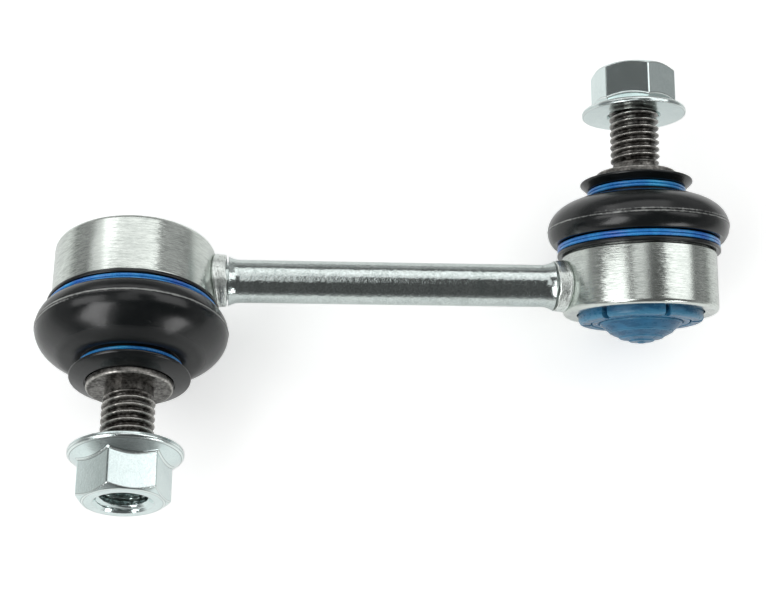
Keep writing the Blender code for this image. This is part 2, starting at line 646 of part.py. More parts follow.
def build_link():
    """Build both ends and the rod between them."""
    height = rest_height()
    sides = (Side("lower", -1, LOWER_HEX_PHASE, height), Side("upper", 1, UPPER_HEX_PHASE, height))
    saddles = [build_saddle(side) for side in sides]
    build_rod(height, saddles)
    for side, saddle in zip(sides, saddles):
        build_weld(side, height, saddle)
        build_housing(side)
        build_shell(side)
        build_cap(side)
        build_stud(side)
        build_boot(side)
        build_ring(side, "foot_ring", FOOT_WIRE, FOOT_RADIUS, FOOT_GROOVE_BOTTOM, FOOT_GROOVE_TOP)
        build_ring(side, "collar_ring", COLLAR_WIRE, COLLAR_RADIUS,
                   COLLAR_GROOVE_BOTTOM, COLLAR_GROOVE_TOP)
        build_nut(side)


build_link()
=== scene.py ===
"""Looks of a stabilizer link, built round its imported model.

The link is a zinc plated rod with a sealed ball joint at each end. Sizes here are in
millimetres and finished meshes are in metres. Every turned piece is worked out in its own
axis frame: a radius, an angle and a station along the axis, counted from the ball's centre
towards the nut (on the rod, from the rod's middle towards the upper end).
"""

from __future__ import annotations

import logging
import math
from dataclasses import dataclass, field
from enum import Enum
from typing import Any

import bmesh
import bpy
import numpy as np
from mathutils import Matrix, Vector

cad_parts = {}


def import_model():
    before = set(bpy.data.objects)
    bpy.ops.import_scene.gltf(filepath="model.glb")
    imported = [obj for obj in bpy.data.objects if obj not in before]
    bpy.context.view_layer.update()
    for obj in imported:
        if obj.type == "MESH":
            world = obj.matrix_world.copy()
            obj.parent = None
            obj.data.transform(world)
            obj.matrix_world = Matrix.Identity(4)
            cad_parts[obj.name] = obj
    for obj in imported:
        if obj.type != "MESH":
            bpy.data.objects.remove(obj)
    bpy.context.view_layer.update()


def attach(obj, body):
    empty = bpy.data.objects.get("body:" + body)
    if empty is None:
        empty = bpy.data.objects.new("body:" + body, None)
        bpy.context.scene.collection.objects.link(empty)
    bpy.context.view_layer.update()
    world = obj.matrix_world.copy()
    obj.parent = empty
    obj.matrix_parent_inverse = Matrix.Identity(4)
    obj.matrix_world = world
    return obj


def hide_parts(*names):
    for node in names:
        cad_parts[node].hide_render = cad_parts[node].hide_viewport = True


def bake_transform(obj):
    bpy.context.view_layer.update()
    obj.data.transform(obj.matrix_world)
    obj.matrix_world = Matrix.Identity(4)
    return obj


MM = 0.001  # one millimetre in metres
TINY = 1e-9  # stands in for a length of nothing where it divides
REPEAT = 1e-6  # profile points nearer than this are one, in millimetres
MERGE = 2e-7  # mesh points nearer than this are one, in metres
SIDE_SHARE = 0.45  # the most that a rounding takes of a side
SMOOTH_ANGLE = math.radians(32.0)  # a flatter edge than this looks smooth
CENTRE_DISTANCE = 120.0  # between the centres of the two balls
STUD_LEAN = math.radians(9.3)  # rise of both studs from the table
ROD_HEIGHT = 19.2208  # of the rod's axis over the table
THREAD_PITCH = 1.75
THREAD_CREST = 5.94  # outer radius of the thread
THREAD_DEPTH = 0.94  # from crest to root
Colour = tuple[float, float, float]
Corner = tuple[float, float, float]  # radius, station and rounding of a profile's corner
Waves = tuple[tuple[float, float, float], ...]  # amplitude, count in a turn and phase
Triple = tuple[float, float, float]
LOG = logging.getLogger("stabilizer_link")


class Slot(Enum):
    """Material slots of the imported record."""

    ZINC = "zinc"
    NUT = "nut"
    TURNED = "housing"
    WELD = "weld"
    STUD = "stud"
    RUBBER = "rubber"
    WIRE = "blue_wire"
    PLASTIC = "plastic"


# Geometry


@dataclass(frozen=True)
class AxisFrame:
    """A right-handed frame whose local Z is the axis of a turned piece."""

    name: str
    origin: tuple[float, float, float]
    along: tuple[float, float, float]
    across: tuple[float, float, float]

    @property
    def matrix(self) -> np.ndarray:
        """Columns are the local X, Y and Z directions."""
        along, across = np.array(self.along), np.array(self.across)
        return np.stack([across, np.cross(along, across), along], axis=1)

    def place(self, radius: np.ndarray, angle: np.ndarray, station: np.ndarray) -> np.ndarray:
        """Points in metres: origin + radius (cos X + sin Y) + station Z, in this frame.

        Args:
            radius: Distances from the axis, in millimetres.
            angle: Angles from local X towards local Y.
            station: Distances along the axis, in millimetres.

        Returns:
            An array with a last axis of three coordinates.
        """
        local = np.stack([radius * np.cos(angle), radius * np.sin(angle), station], axis=-1)
        return (local @ self.matrix.T + np.array(self.origin)) * MM

    def point(self, station: float) -> tuple[float, float, float]:
        """The point of the axis at a station, in metres."""
        return tuple((np.array(self.origin) + station * np.array(self.along)) * MM)


@dataclass
class Grid:
    """A surface on a grid of columns (round the axis) and rows (along the profile).

    Radius and station are in millimetres. The wear mask is 0 on a plain skin and 1 on a rounded
    edge, a crest, a flash line or the outer side of a wire; finishes take rubbing from it and
    also painted highlights and painted shade.
    """

    radius: np.ndarray
    angle: np.ndarray
    station: np.ndarray
    wear: np.ndarray
    closed_rows: bool = False
    closed_columns: bool = True


def soften(corners: np.ndarray, steps: int, closed: bool) -> tuple[np.ndarray, np.ndarray]:
    """Round the corners of one profile or of one profile for each angle.

    Each corner P gives way to the curve (1-t)^2 A + 2t(1-t) P + t^2 B, where A and B lie on
    its two sides, as far off as the rounding or 0.45 of that side, whichever is less.

    Args:
        corners: (..., corners, 3) with radius, station and rounding.
        steps: Spans of each rounding.
        closed: Whether the last corner joins the first.

    Returns:
        The points (..., corners * (steps + 1), 2), and for each its value in the wear mask: 1 in
        the middle of a rounding and 0 where a flat begins.
    """
    point, rounding = corners[..., :2], corners[..., 2:]
    before = np.roll(point, 1, axis=-2) - point
    after = np.roll(point, -1, axis=-2) - point
    if not closed:
        before[..., 0, :] = 0.0
        after[..., -1, :] = 0.0
    ends = []
    for side in (before, after):
        length = np.maximum(np.linalg.norm(side, axis=-1, keepdims=True), TINY)
        reach = np.minimum(rounding, SIDE_SHARE * length)
        ends.append((point + side / length * reach)[..., None, :])
    share = np.linspace(0.0, 1.0, steps + 1)[:, None]
    corner = point[..., None, :]
    curve = (1 - share) ** 2 * ends[0] + 2 * share * (1 - share) * corner + share**2 * ends[1]
    wear = np.where(rounding > 0, 4 * share[:, 0] * (1 - share[:, 0]), 0.0)
    shape = (*corners.shape[:-2], -1)
    return curve.reshape(*shape, 2), wear.reshape(shape)


def profile_of(corners: list[Corner], steps: int, closed: bool = True) -> np.ndarray:
    """Round the corners of a profile and drop points that repeat the one before.

    Args:
        corners: Radius, station and rounding of each corner.
        steps: Spans of each rounding.
        closed: Whether the last corner joins the first.

    Returns:
        Rows of radius, station and wear mask.
    """
    points, wear = soften(np.array(corners, float), steps, closed)
    rows = np.column_stack([points, wear])
    gaps = np.linalg.norm(np.diff(points, axis=0, prepend=points[:1] + 1.0), axis=1)
    return rows[gaps > REPEAT]


def arc(centre: tuple[float, float], reach: tuple[float, float], start: float, stop: float,
        count: int) -> list[Corner]:
    """Part of an ellipse, centre + reach (cos, sin), as corners without a rounding.

    Args:
        centre: Radius and station of the ellipse's centre.
        reach: Its half axes along the radius and along the station.
        start: First angle, in degrees.
        stop: Last angle, in degrees.
        count: Number of corners.

    Returns:
        The corners.
    """
    angles = np.radians(np.linspace(start, stop, count))
    radius = centre[0] + reach[0] * np.cos(angles)
    station = centre[1] + reach[1] * np.sin(angles)
    return [(float(r), float(s), 0.0) for r, s in zip(radius, station)]


def turned(profile: np.ndarray, columns: int, closed: bool = True) -> Grid:
    """Carry a profile round the axis: the same radius and station at every angle.

    Args:
        profile: Rows of radius, station and wear mask.
        columns: Number of angles in the whole turn.
        closed: Whether the last row joins the first.

    Returns:
        The surface.
    """
    angle = np.linspace(0.0, math.tau, columns, endpoint=False)[:, None]
    ones = np.ones((columns, 1))
    return Grid(profile[None, :, 0] * ones, angle + 0.0 * profile[None, :, 0],
                profile[None, :, 1] * ones, profile[None, :, 2] * ones, closed)


def ripple(angle: np.ndarray, waves: Waves) -> np.ndarray:
    """Sum of amplitude * sin(count * angle + phase), a smooth unevenness round the axis."""
    return sum(size * np.sin(count * angle + phase) for size, count, phase in waves)


def thread_share(angle: np.ndarray, station: np.ndarray) -> np.ndarray:
    """Height of a right-hand coarse thread, 0 at the root and 1 at the crest.

    With d the axial distance to the nearest crest line, where station / pitch - angle / turn
    is whole, the flank f is (3/8 pitch - d) / (5/16 pitch), held between 0 and 1. The height
    is 0.7 f + 0.3 f^2 (3 - 2 f), which softens the flank's two corners.

    Args:
        angle: Angles round the axis.
        station: Distances along the axis, in millimetres.

    Returns:
        The height of each point.
    """
    turns = station / THREAD_PITCH - angle / math.tau
    distance = np.abs(turns - np.round(turns)) * THREAD_PITCH
    flank = np.clip((0.375 * THREAD_PITCH - distance) / (0.3125 * THREAD_PITCH), 0.0, 1.0)
    return 0.7 * flank + 0.3 * flank * flank * (3.0 - 2.0 * flank)


def grid_faces(grid: Grid, first: int) -> np.ndarray:
    """Number the corners of a grid's quads, wrapped where the grid is closed.

    Args:
        grid: The surface.
        first: Number of its first point in the mesh.

    Returns:
        Four point numbers for each quad.
    """
    columns, rows = grid.radius.shape
    index = np.arange(columns * rows).reshape(columns, rows) + first
    right, up = np.roll(index, -1, axis=0), np.roll(index, -1, axis=1)
    corner = np.roll(right, -1, axis=1)
    quads = np.stack([index, right, corner, up], axis=-1)
    quads = quads[: None if grid.closed_columns else -1, : None if grid.closed_rows else -1]
    return quads.reshape(-1, 4)


def mesh_of(name: str, points: np.ndarray, quads: np.ndarray,
            wear: np.ndarray) -> bpy.types.Mesh:
    """Make a closed mesh with outward faces and a wear value on each point.

    Points that fall together are merged, so a pole or a step in a grid leaves no flat face.
    The volume that the faces enclose, a sixth of the sum of a . (b x c), tells which way
    they point.

    Args:
        name: The mesh's name.
        points: Places of the points, in metres.
        quads: Four point numbers for each face.
        wear: A value for each point.

    Returns:
        The mesh, smooth but for its sharp edges.
    """
    mesh = bpy.data.meshes.new(name)
    a, b, c, d = (points[quads[:, k]] for k in range(4))
    volume = np.einsum("ij,ij->", a, np.cross(b, c)) + np.einsum("ij,ij->", a, np.cross(c, d))
    if volume < 0:
        quads = quads[:, ::-1]
    mesh.vertices.add(len(points))
    mesh.vertices.foreach_set("co", points.astype(np.float32).ravel())
    mesh.loops.add(quads.size)
    mesh.loops.foreach_set("vertex_index", quads.astype(np.int32).ravel())
    mesh.polygons.add(len(quads))
    mesh.polygons.foreach_set("loop_start", np.arange(0, quads.size, 4, dtype=np.int32))
    mesh.update(calc_edges=True)
    attribute = mesh.attributes.new("wear", "FLOAT", "POINT")
    attribute.data.foreach_set("value", wear.astype(np.float32))
    shape = bmesh.new()
    shape.from_mesh(mesh)
    bmesh.ops.remove_doubles(shape, verts=shape.verts, dist=MERGE)
    bmesh.ops.dissolve_degenerate(shape, edges=shape.edges, dist=MERGE)
    shape.to_mesh(mesh)
    shape.free()
    mesh.shade_smooth()
    mesh.set_sharp_from_angle(angle=SMOOTH_ANGLE)
    return mesh


def piece_of(name: str, frame: AxisFrame, grids: list[Grid],
             material: bpy.types.Material) -> bpy.types.Object:
    """Make an object of grids, at the origin and with its place in its mesh.

    Args:
        name: The object's name.
        frame: The axis frame that the grids are given in.
        grids: The surfaces.
        material: What it is dressed in.

    Returns:
        The object, linked to the scene.
    """
    points, quads, wear, first = [], [], [], 0
    for grid in grids:
        points.append(frame.place(grid.radius, grid.angle, grid.station).reshape(-1, 3))
        quads.append(grid_faces(grid, first))
        wear.append(np.broadcast_to(grid.wear, grid.radius.shape).ravel())
        first += grid.radius.size
    mesh = mesh_of(name, np.concatenate(points), np.concatenate(quads), np.concatenate(wear))
    mesh.materials.append(material)
    item = bpy.data.objects.new(name, mesh)
    bpy.context.scene.collection.objects.link(item)
    return item


# Shader maths


class Value:
    """A number inside a material. Its operators add Math nodes."""

    def __init__(self, graph: "Graph", source: Any) -> None:
        """Wrap a socket or a plain number."""
        self.graph, self.source = graph, source

    def _math(self, operation: str, *others: Any) -> "Value":
        """Add one Math node.

        Args:
            operation: What it does.
            others: Its further inputs, after this value.

        Returns:
            Its result.
        """
        inputs = {index: other for index, other in enumerate((self, *others))}
        node = self.graph.node("ShaderNodeMath", {"operation": operation}, inputs)
        return Value(self.graph, node.outputs[0])

    def __add__(self, other: Any) -> "Value":
        """Sum."""
        return self._math("ADD", other)

    __radd__ = __add__

    def __mul__(self, other: Any) -> "Value":
        """Product."""
        return self._math("MULTIPLY", other)

    __rmul__ = __mul__

    def __sub__(self, other: Any) -> "Value":
        """Difference."""
        return self._math("SUBTRACT", other)

    def __rsub__(self, other: Any) -> "Value":
        """Difference taken from a plain number."""
        return Value(self.graph, other)._math("SUBTRACT", self)

    def __pow__(self, other: Any) -> "Value":
        """Power."""
        return self._math("POWER", other)

    def __abs__(self) -> "Value":
        """Size without its sign."""
        return self._math("ABSOLUTE")

    def step(self, low: float, high: float) -> "Value":
        """Smooth step from 0 at low to 1 at high, also where low is the greater.

        Args:
            low: Where the step is 0.
            high: Where it is 1.

        Returns:
            The step.
        """
        settings = {"interpolation_type": "SMOOTHSTEP"}
        falls = low > high
        inputs = {"Value": self, "From Min": min(low, high), "From Max": max(low, high),
                  "To Min": 1.0 if falls else 0.0, "To Max": 0.0 if falls else 1.0}
        node = self.graph.node("ShaderNodeMapRange", settings, inputs)
        return Value(self.graph, node.outputs[0])


class Graph:
    """A node tree under construction."""

    def __init__(self, tree: bpy.types.NodeTree, frame: AxisFrame | None = None) -> None:
        """Start with an empty tree, for pieces that share an axis frame."""
        self.tree, self.frame = tree, frame
        tree.nodes.clear()

    def node(self, kind: str, settings: dict[str, Any] | None = None,
             inputs: dict[Any, Any] | None = None) -> bpy.types.Node:
        """Add a node.

        Args:
            kind: The node's type.
            settings: Its own settings, set before its sockets.
            inputs: Values or links of its sockets, by identifier, name or number.

        Returns:
            The node.
        """
        node = self.tree.nodes.new(kind)
        for key, setting in (settings or {}).items():
            setattr(node, key, setting)
        for key, given in (inputs or {}).items():
            socket = self._socket(node, key)
            source = given.source if isinstance(given, Value) else given
            if isinstance(source, bpy.types.NodeSocket):
                self.tree.links.new(source, socket)
            else:
                socket.default_value = source
        return node

    @staticmethod
    def _socket(node: bpy.types.Node, key: Any) -> bpy.types.NodeSocket:
        """Find an input of a node.

        Args:
            node: The node.
            key: The input's number, identifier or name.

        Returns:
            The input.
        """
        if isinstance(key, int):
            return node.inputs[key]
        for socket in node.inputs:
            if socket.identifier == key:
                return socket
        return node.inputs[key]

    def _turn(self) -> tuple[float, float, float]:
        """Angles that turn the axis frame's directions into the object's."""
        return tuple(Matrix(self.frame.matrix.tolist()).to_euler())

    def local(self) -> bpy.types.NodeSocket:
        """Turn Object coordinates into the axis frame.

        Returns:
            Coordinates in millimetres.
        """
        place = self.node("ShaderNodeTexCoord").outputs["Object"]
        inputs = {"Vector": place, "Location": tuple(v * MM for v in self.frame.origin),
                  "Rotation": self._turn(), "Scale": (MM, MM, MM)}
        return self.node("ShaderNodeMapping", {"vector_type": "TEXTURE"}, inputs).outputs[0]

    def vector(self, operation: str, *inputs: Any) -> bpy.types.NodeSocket:
        """The result of one Vector Math node, where a number among the inputs is a scale."""
        given = {"Scale" if isinstance(v, (Value, float)) else k: v for k, v in enumerate(inputs)}
        return self.node("ShaderNodeVectorMath", {"operation": operation}, given).outputs[0]

    def around(self, place: Any) -> bpy.types.NodeSocket:
        """Find the way in which a point of a turned piece goes round: (-y, x, 0).

        Args:
            place: Coordinates in the axis frame.

        Returns:
            The direction in the world.
        """
        x, y, _ = self.parts(place)
        flat = self.node("ShaderNodeCombineXYZ", None, {0: 0.0 - y, 1: x}).outputs[0]
        inputs = {"Vector": self.vector("NORMALIZE", flat), "Rotation": self._turn()}
        turned_back = self.node("ShaderNodeMapping", {"vector_type": "VECTOR"}, inputs)
        settings = {"vector_type": "VECTOR", "convert_from": "OBJECT", "convert_to": "WORLD"}
        inputs = {"Vector": turned_back.outputs[0]}
        return self.node("ShaderNodeVectorTransform", settings, inputs).outputs[0]

    def tilt(self, normal: Any, direction: Any, amount: Value) -> bpy.types.NodeSocket:
        """A normal leant by an amount towards a direction."""
        lean = self.vector("SCALE", direction, amount)
        return self.vector("NORMALIZE", self.vector("ADD", normal, lean))

    def stretch(self, vector: Any, scale: Triple) -> bpy.types.NodeSocket:
        """Scale a vector along each axis."""
        return self.vector("MULTIPLY", vector, scale)

    def parts(self, vector: Any) -> tuple[Value, Value, Value]:
        """The three numbers of a vector."""
        node = self.node("ShaderNodeSeparateXYZ", None, {0: vector})
        return tuple(Value(self, output) for output in node.outputs)

    def noise(self, vector: Any, scale: float, detail: float = 2.0,
              roughness: float = 0.5) -> Value:
        """Fractal noise between about 0.2 and 0.8."""
        inputs = {"Vector": vector, "Scale": scale, "Detail": detail, "Roughness": roughness}
        return Value(self, self.node("ShaderNodeTexNoise", None, inputs).outputs[0])

    def grain(self, vector: Any, scale: float) -> Value:
        """Distance to the nearest of scattered points, for pits and spangle."""
        node = self.node("ShaderNodeTexVoronoi", None, {"Vector": vector, "Scale": scale})
        return Value(self, node.outputs["Distance"])

    def attribute(self, name: str) -> Value:
        """A value stored on the mesh's points."""
        node = self.node("ShaderNodeAttribute", {"attribute_name": name})
        return Value(self, node.outputs["Fac"])

    def mix(self, share: Any, first: Any, second: Any) -> bpy.types.NodeSocket:
        """Blend two colours.

        Args:
            share: 0 for the first colour to 1 for the second.
            first: A colour or a link.
            second: A colour or a link.

        Returns:
            The blend.
        """
        colours = [(*c, 1.0) if isinstance(c, tuple) else c for c in (first, second)]
        inputs = {"Factor_Float": share, "A_Color": colours[0], "B_Color": colours[1]}
        settings = {"data_type": "RGBA", "clamp_factor": True}
        return self.node("ShaderNodeMix", settings, inputs).outputs[2]

    def bump(self, height: Value, depth: float) -> bpy.types.NodeSocket:
        """Normal of a relief whose height of 1 is depth millimetres."""
        inputs = {"Height": height, "Distance": depth * MM, "Strength": 1.0}
        return self.node("ShaderNodeBump", None, inputs).outputs[0]


@dataclass(frozen=True)
class Finish:
    """A surface finish. Each kind says what its Principled shader is fed.

    Densities are those of a noise, per millimetre. A sum of noises is a share, and a step on
    it picks between two colours.
    """

    slot: Slot

    def feed(self, graph: Graph, place: Any) -> dict[str, Any]:
        """Values and links of the shader's sockets.

        Args:
            graph: The material's node tree.
            place: Coordinates in the piece's axis frame, in millimetres.

        Returns:
            Socket names with what they get.
        """
        raise NotImplementedError

    def material(self, frame: AxisFrame) -> bpy.types.Material:
        """Build the finish for pieces that share an axis frame.

        Args:
            frame: The axis frame that its patterns follow.

        Returns:
            The material.
        """
        material = bpy.data.materials.new(f"{frame.name}_{type(self).__name__}")
        material.use_nodes = True
        graph = Graph(material.node_tree, frame)
        inputs = self.feed(graph, graph.local())
        shader = graph.node("ShaderNodeBsdfPrincipled", None, inputs)
        graph.node("ShaderNodeOutputMaterial", None, {"Surface": shader.outputs[0]})
        return material


@dataclass(frozen=True)
class BrushedTurning(Finish):
    """Turned steel under thin zinc, with fine tool marks that run round it."""

    slot: Slot = Slot.TURNED
    dark: Colour = (0.40, 0.435, 0.41)
    light: Colour = (0.74, 0.785, 0.745)
    hair_density: Triple = (0.75, 0.75, 6.5)
    band_density: Triple = (0.30, 0.30, 3.0)
    cloud_density: float = 0.22
    scratch_depth: float = 0.008
    fraying: float = 0.26

    def feed(self, graph: Graph, place: Any) -> dict[str, Any]:
        """Long thin noise along the turning direction drives colour, gloss and relief.

        The marks also lean the normal round the ring, which frays the reflected bands.

        Args:
            graph: The material's node tree.
            place: Coordinates in the piece's axis frame, in millimetres.

        Returns:
            Socket names with what they get.
        """
        hair = graph.noise(graph.stretch(place, self.hair_density), 1.0, 3.0, 0.7)
        band = graph.noise(graph.stretch(place, self.band_density), 1.0, 2.0)
        cloud = graph.noise(place, self.cloud_density, 2.0)
        wear_and_light_mask = graph.attribute("wear")
        share = hair * 0.9 + band * 0.5 + cloud * 0.3 + wear_and_light_mask * 0.25
        relief = hair * 0.6 + band * 1.6
        lean = (hair - 0.5) * self.fraying + (band - 0.5) * (self.fraying * 0.25)
        normal = graph.bump(relief, self.scratch_depth)
        return {"Base Color": graph.mix(share.step(0.5, 1.15), self.dark, self.light),
                "Metallic": 1.0,
                "Roughness": hair * 0.20 + 0.11,
                "Normal": graph.tilt(normal, graph.around(place), lean)}


@dataclass(frozen=True)
class ZincPlate(Finish):
    """Bright zinc on drawn or forged steel: fine speckle, soft dents and rubbed edges."""

    slot: Slot = Slot.ZINC
    dark: Colour = (0.42, 0.47, 0.47)
    light: Colour = (0.70, 0.77, 0.76)
    rubbed: Colour = (0.85, 0.90, 0.88)
    edge_border_dark: Colour = (0.13, 0.15, 0.15)
    edge_line: float = 0.7
    rub: float = 0.6
    edge_dents: float = 5.0
    speckle_size: float = 0.35
    speckle_depth: float = 0.012
    cloud_density: float = 0.3
    pit_density: float = 1.6
    gloss: float = 0.2

    def feed(self, graph: Graph, place: Any) -> dict[str, Any]:
        """Speckle and clouds drive colour and gloss.

        Roundings are dented and rubbed brighter, with a darker line on both sides.

        Args:
            graph: The material's node tree.
            place: Coordinates in the piece's axis frame, in millimetres.

        Returns:
            Socket names with what they get.
        """
        speckle = graph.noise(place, 1.0 / self.speckle_size, 3.0, 0.6)
        dimple = graph.noise(place, 0.4 / self.speckle_size, 2.0)
        cloud = graph.noise(place, self.cloud_density, 2.0)
        pits = graph.grain(place, self.pit_density)
        wear_and_light_mask = graph.attribute("wear")
        share = speckle * 0.8 + cloud * 0.4 + pits * 0.2
        base = graph.mix(share.step(0.40, 0.95), self.dark, self.light)
        relief = speckle + dimple * 2.2 + cloud * 2.5 + wear_and_light_mask * speckle * self.edge_dents
        beside = wear_and_light_mask.step(0.0, 0.25) - wear_and_light_mask.step(0.3, 0.75)
        base = graph.mix(beside * self.edge_line, base, self.edge_border_dark)
        return {"Base Color": graph.mix(wear_and_light_mask.step(0.45, 1.0) * self.rub, base, self.rubbed),
                "Metallic": 1.0,
                "Roughness": speckle * 0.20 + (self.gloss - 0.08),
                "Normal": graph.bump(relief, self.speckle_depth)}


@dataclass(frozen=True)
class WeldMetal(Finish):
    """Plated weld metal: rippled, pitted and duller in its hollows."""

    slot: Slot = Slot.WELD
    hollow: Colour = (0.48, 0.515, 0.485)
    ridge: Colour = (0.90, 0.955, 0.92)
    fine_density: float = 2.4
    coarse_density: float = 0.9

    def feed(self, graph: Graph, place: Any) -> dict[str, Any]:
        """Pits and the ridges' wear drive colour and gloss.

        Args:
            graph: The material's node tree.
            place: Coordinates in the piece's axis frame, in millimetres.

        Returns:
            Socket names with what they get.
        """
        fine = graph.noise(place, self.fine_density, 4.0, 0.65)
        coarse = graph.noise(place, self.coarse_density, 2.0)
        wear_and_light_mask = graph.attribute("wear")
        share = fine * 0.8 + coarse * 0.6 + wear_and_light_mask * 0.14
        return {"Base Color": graph.mix(share.step(0.5, 0.88), self.hollow, self.ridge),
                "Metallic": 0.9,
                "Roughness": 0.42 - wear_and_light_mask * 0.08 - fine * 0.14,
                "Normal": graph.bump(fine + coarse, 0.10)}


@dataclass(frozen=True)
class PhosphatedStud(Finish):
    """Phosphated steel: rubbing and a painted highlight on crests and edges, painted shade in the
    thread's roots.
    """

    slot: Slot = Slot.STUD
    dark: Colour = (0.024, 0.021, 0.018)
    grey: Colour = (0.215, 0.208, 0.195)
    bright_rub_and_highlight: Colour = (0.60, 0.585, 0.55)
    grime_density: float = 1.4
    patch_density: float = 0.35
    mark_density: Triple = (1.0, 1.0, 5.0)

    def feed(self, graph: Graph, place: Any) -> dict[str, Any]:
        """Grime and patches pick black or grey; crests and edges get rubbing and painted
        highlight, roots painted shade.

        Args:
            graph: The material's node tree.
            place: Coordinates in the piece's axis frame, in millimetres.

        Returns:
            Socket names with what they get.
        """
        grime = graph.noise(place, self.grime_density, 4.0, 0.65)
        patch = graph.noise(place, self.patch_density, 3.0, 0.6)
        fine = graph.noise(graph.stretch(place, self.mark_density), 1.6, 3.0)
        wear_and_light_mask = graph.attribute("wear")
        # Painted shade: the thread's roots, low in the mask, lean to the black colour.
        share = grime * 0.7 + fine * 0.3 + patch * 0.8 + wear_and_light_mask * 0.5
        base = graph.mix(share.step(0.78, 1.20), self.dark, self.grey)
        # Painted highlight, also rubbing: light metal on the crests and on the disc's rim.
        rub = (wear_and_light_mask + grime * 1.8 - 1.25).step(0.0, 0.9)
        return {"Base Color": graph.mix(rub, base, self.bright_rub_and_highlight),
                "Metallic": 0.85,
                "Roughness": 0.24 - rub * 0.06 + grime * 0.14,
                "Normal": graph.bump(grime + fine, 0.02)}


@dataclass(frozen=True)
class MouldedRubber(Finish):
    """Black boot rubber with a satin skin, a little dust and a paler flash line."""

    slot: Slot = Slot.RUBBER
    black: Colour = (0.0040, 0.0054, 0.0060)
    dusty: Colour = (0.0120, 0.0136, 0.0138)
    flash: Colour = (0.30, 0.31, 0.30)
    dust_density: float = 0.16
    skin_density: float = 4.5
    break_density: float = 1.1
    speck_density: float = 2.6
    valley_foot: tuple[float, float] = (20.2, 21.4)
    valley_top: tuple[float, float] = (23.4, 23.9)

    def feed(self, graph: Graph, place: Any) -> dict[str, Any]:
        """Broad dust, skin texture, a few specks and the flash line that the wear mask carries.

        The valley under the collar, between two stations of the axis, is the most matt.

        Args:
            graph: The material's node tree.
            place: Coordinates in the piece's axis frame, in millimetres.

        Returns:
            Socket names with what they get.
        """
        dust = graph.noise(place, self.dust_density, 3.0, 0.6)
        skin = graph.noise(place, self.skin_density, 3.0, 0.6)
        broken = graph.noise(place, self.break_density, 2.0)
        _, _, station = graph.parts(place)
        valley = station.step(*self.valley_foot) - station.step(*self.valley_top)
        specks = graph.noise(place, self.speck_density, 2.0).step(0.66, 0.76)
        specks = specks * broken.step(0.45, 0.7)
        line = (graph.attribute("wear") + broken * 1.1 + skin * 0.6 - 1.1).step(0.0, 0.75)
        pale = line + specks * 0.10
        base = graph.mix((dust * 0.8 + skin * 0.35).step(0.42, 0.9), self.black, self.dusty)
        return {"Base Color": graph.mix(pale, base, self.flash),
                "Metallic": 0.0,
                "Specular IOR Level": 0.40,
                "Coat Weight": 0.16, "Coat Roughness": 0.09,
                "Roughness": dust * 0.20 + skin * 0.08 + valley * 0.35 + 0.06,
                "Normal": graph.bump(skin + dust * 3.0, 0.02)}


@dataclass(frozen=True)
class LacqueredWire(Finish):
    """Spring wire under glossy blue lacquer, slightly uneven along its turns, with painted shade
    between them.
    """

    slot: Slot = Slot.WIRE
    deep: Colour = (0.012, 0.125, 0.56)
    clear: Colour = (0.060, 0.56, 1.0)
    painted_gap_shade: Colour = (0.004, 0.012, 0.040)
    patch_density: float = 0.13
    fine_density: float = 5.0

    def feed(self, graph: Graph, place: Any) -> dict[str, Any]:
        """Soft patches vary the lacquer's depth, and painted shade darkens the wire's sides and
        inner side, between two turns.

        Args:
            graph: The material's node tree.
            place: Coordinates in the piece's axis frame, in millimetres.

        Returns:
            Socket names with what they get.
        """
        patch = graph.noise(place, self.patch_density, 2.0)
        fine = graph.noise(place, self.fine_density, 2.0)
        base = graph.mix((patch * 0.8 + fine * 0.3).step(0.35, 0.80), self.deep, self.clear)
        # Painted shade: away from the wire's outer side the blue gives way to a near black blue.
        lit_side = (graph.attribute("wear") + fine * 0.2).step(0.45, 0.85)
        base = graph.mix(lit_side, self.painted_gap_shade, base)
        return {"Base Color": base, "Metallic": 0.0, "Roughness": fine * 0.15 + 0.2,
                "Coat Weight": 0.5, "Coat Roughness": 0.12,
                "Normal": graph.bump(fine, 0.006)}


@dataclass(frozen=True)
class MouldedPlastic(Finish):
    """Steel blue moulded plastic, matt, with faint flow marks and a painted highlight on its
    edges.
    """

    slot: Slot = Slot.PLASTIC
    deep: Colour = (0.015, 0.100, 0.210)
    pale: Colour = (0.042, 0.210, 0.385)
    painted_edge_highlight: Colour = (0.13, 0.38, 0.56)
    flow_density: Triple = (0.3, 0.3, 0.8)
    skin_density: float = 3.6

    def feed(self, graph: Graph, place: Any) -> dict[str, Any]:
        """Flow marks vary the blue, and the roundings are painted paler as a highlight.

        Args:
            graph: The material's node tree.
            place: Coordinates in the piece's axis frame, in millimetres.

        Returns:
            Socket names with what they get.
        """
        flow = graph.noise(graph.stretch(place, self.flow_density), 1.0, 3.0, 0.6)
        skin = graph.noise(place, self.skin_density, 3.0, 0.6)
        wear_and_light_mask = graph.attribute("wear")
        base = graph.mix((flow * 0.8 + skin * 0.25).step(0.3, 0.8), self.deep, self.pale)
        # Painted highlight: the roundings are mixed towards a pale blue.
        return {"Base Color": graph.mix(wear_and_light_mask * 0.5, base, self.painted_edge_highlight),
                "Metallic": 0.0, "Specular IOR Level": 0.35,
                "Roughness": flow * 0.2 + 0.18,
                "Normal": graph.bump(skin + flow, 0.010)}


# Sub-assemblies


class Half(Enum):
    """The two halves of a boot."""

    FOOT = "boot_foot"
    CROWN = "boot_crown"


def fit(item: bpy.types.Object, body: str, node: str) -> None:
    """Hide the CAD node that a piece stands for and let the piece ride.

    Args:
        item: The piece.
        body: The body that it moves with.
        node: The CAD node.
    """
    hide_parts(node)
    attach(item, body)
    LOG.info("%s: %d faces on %s", item.name, len(item.data.polygons), body)


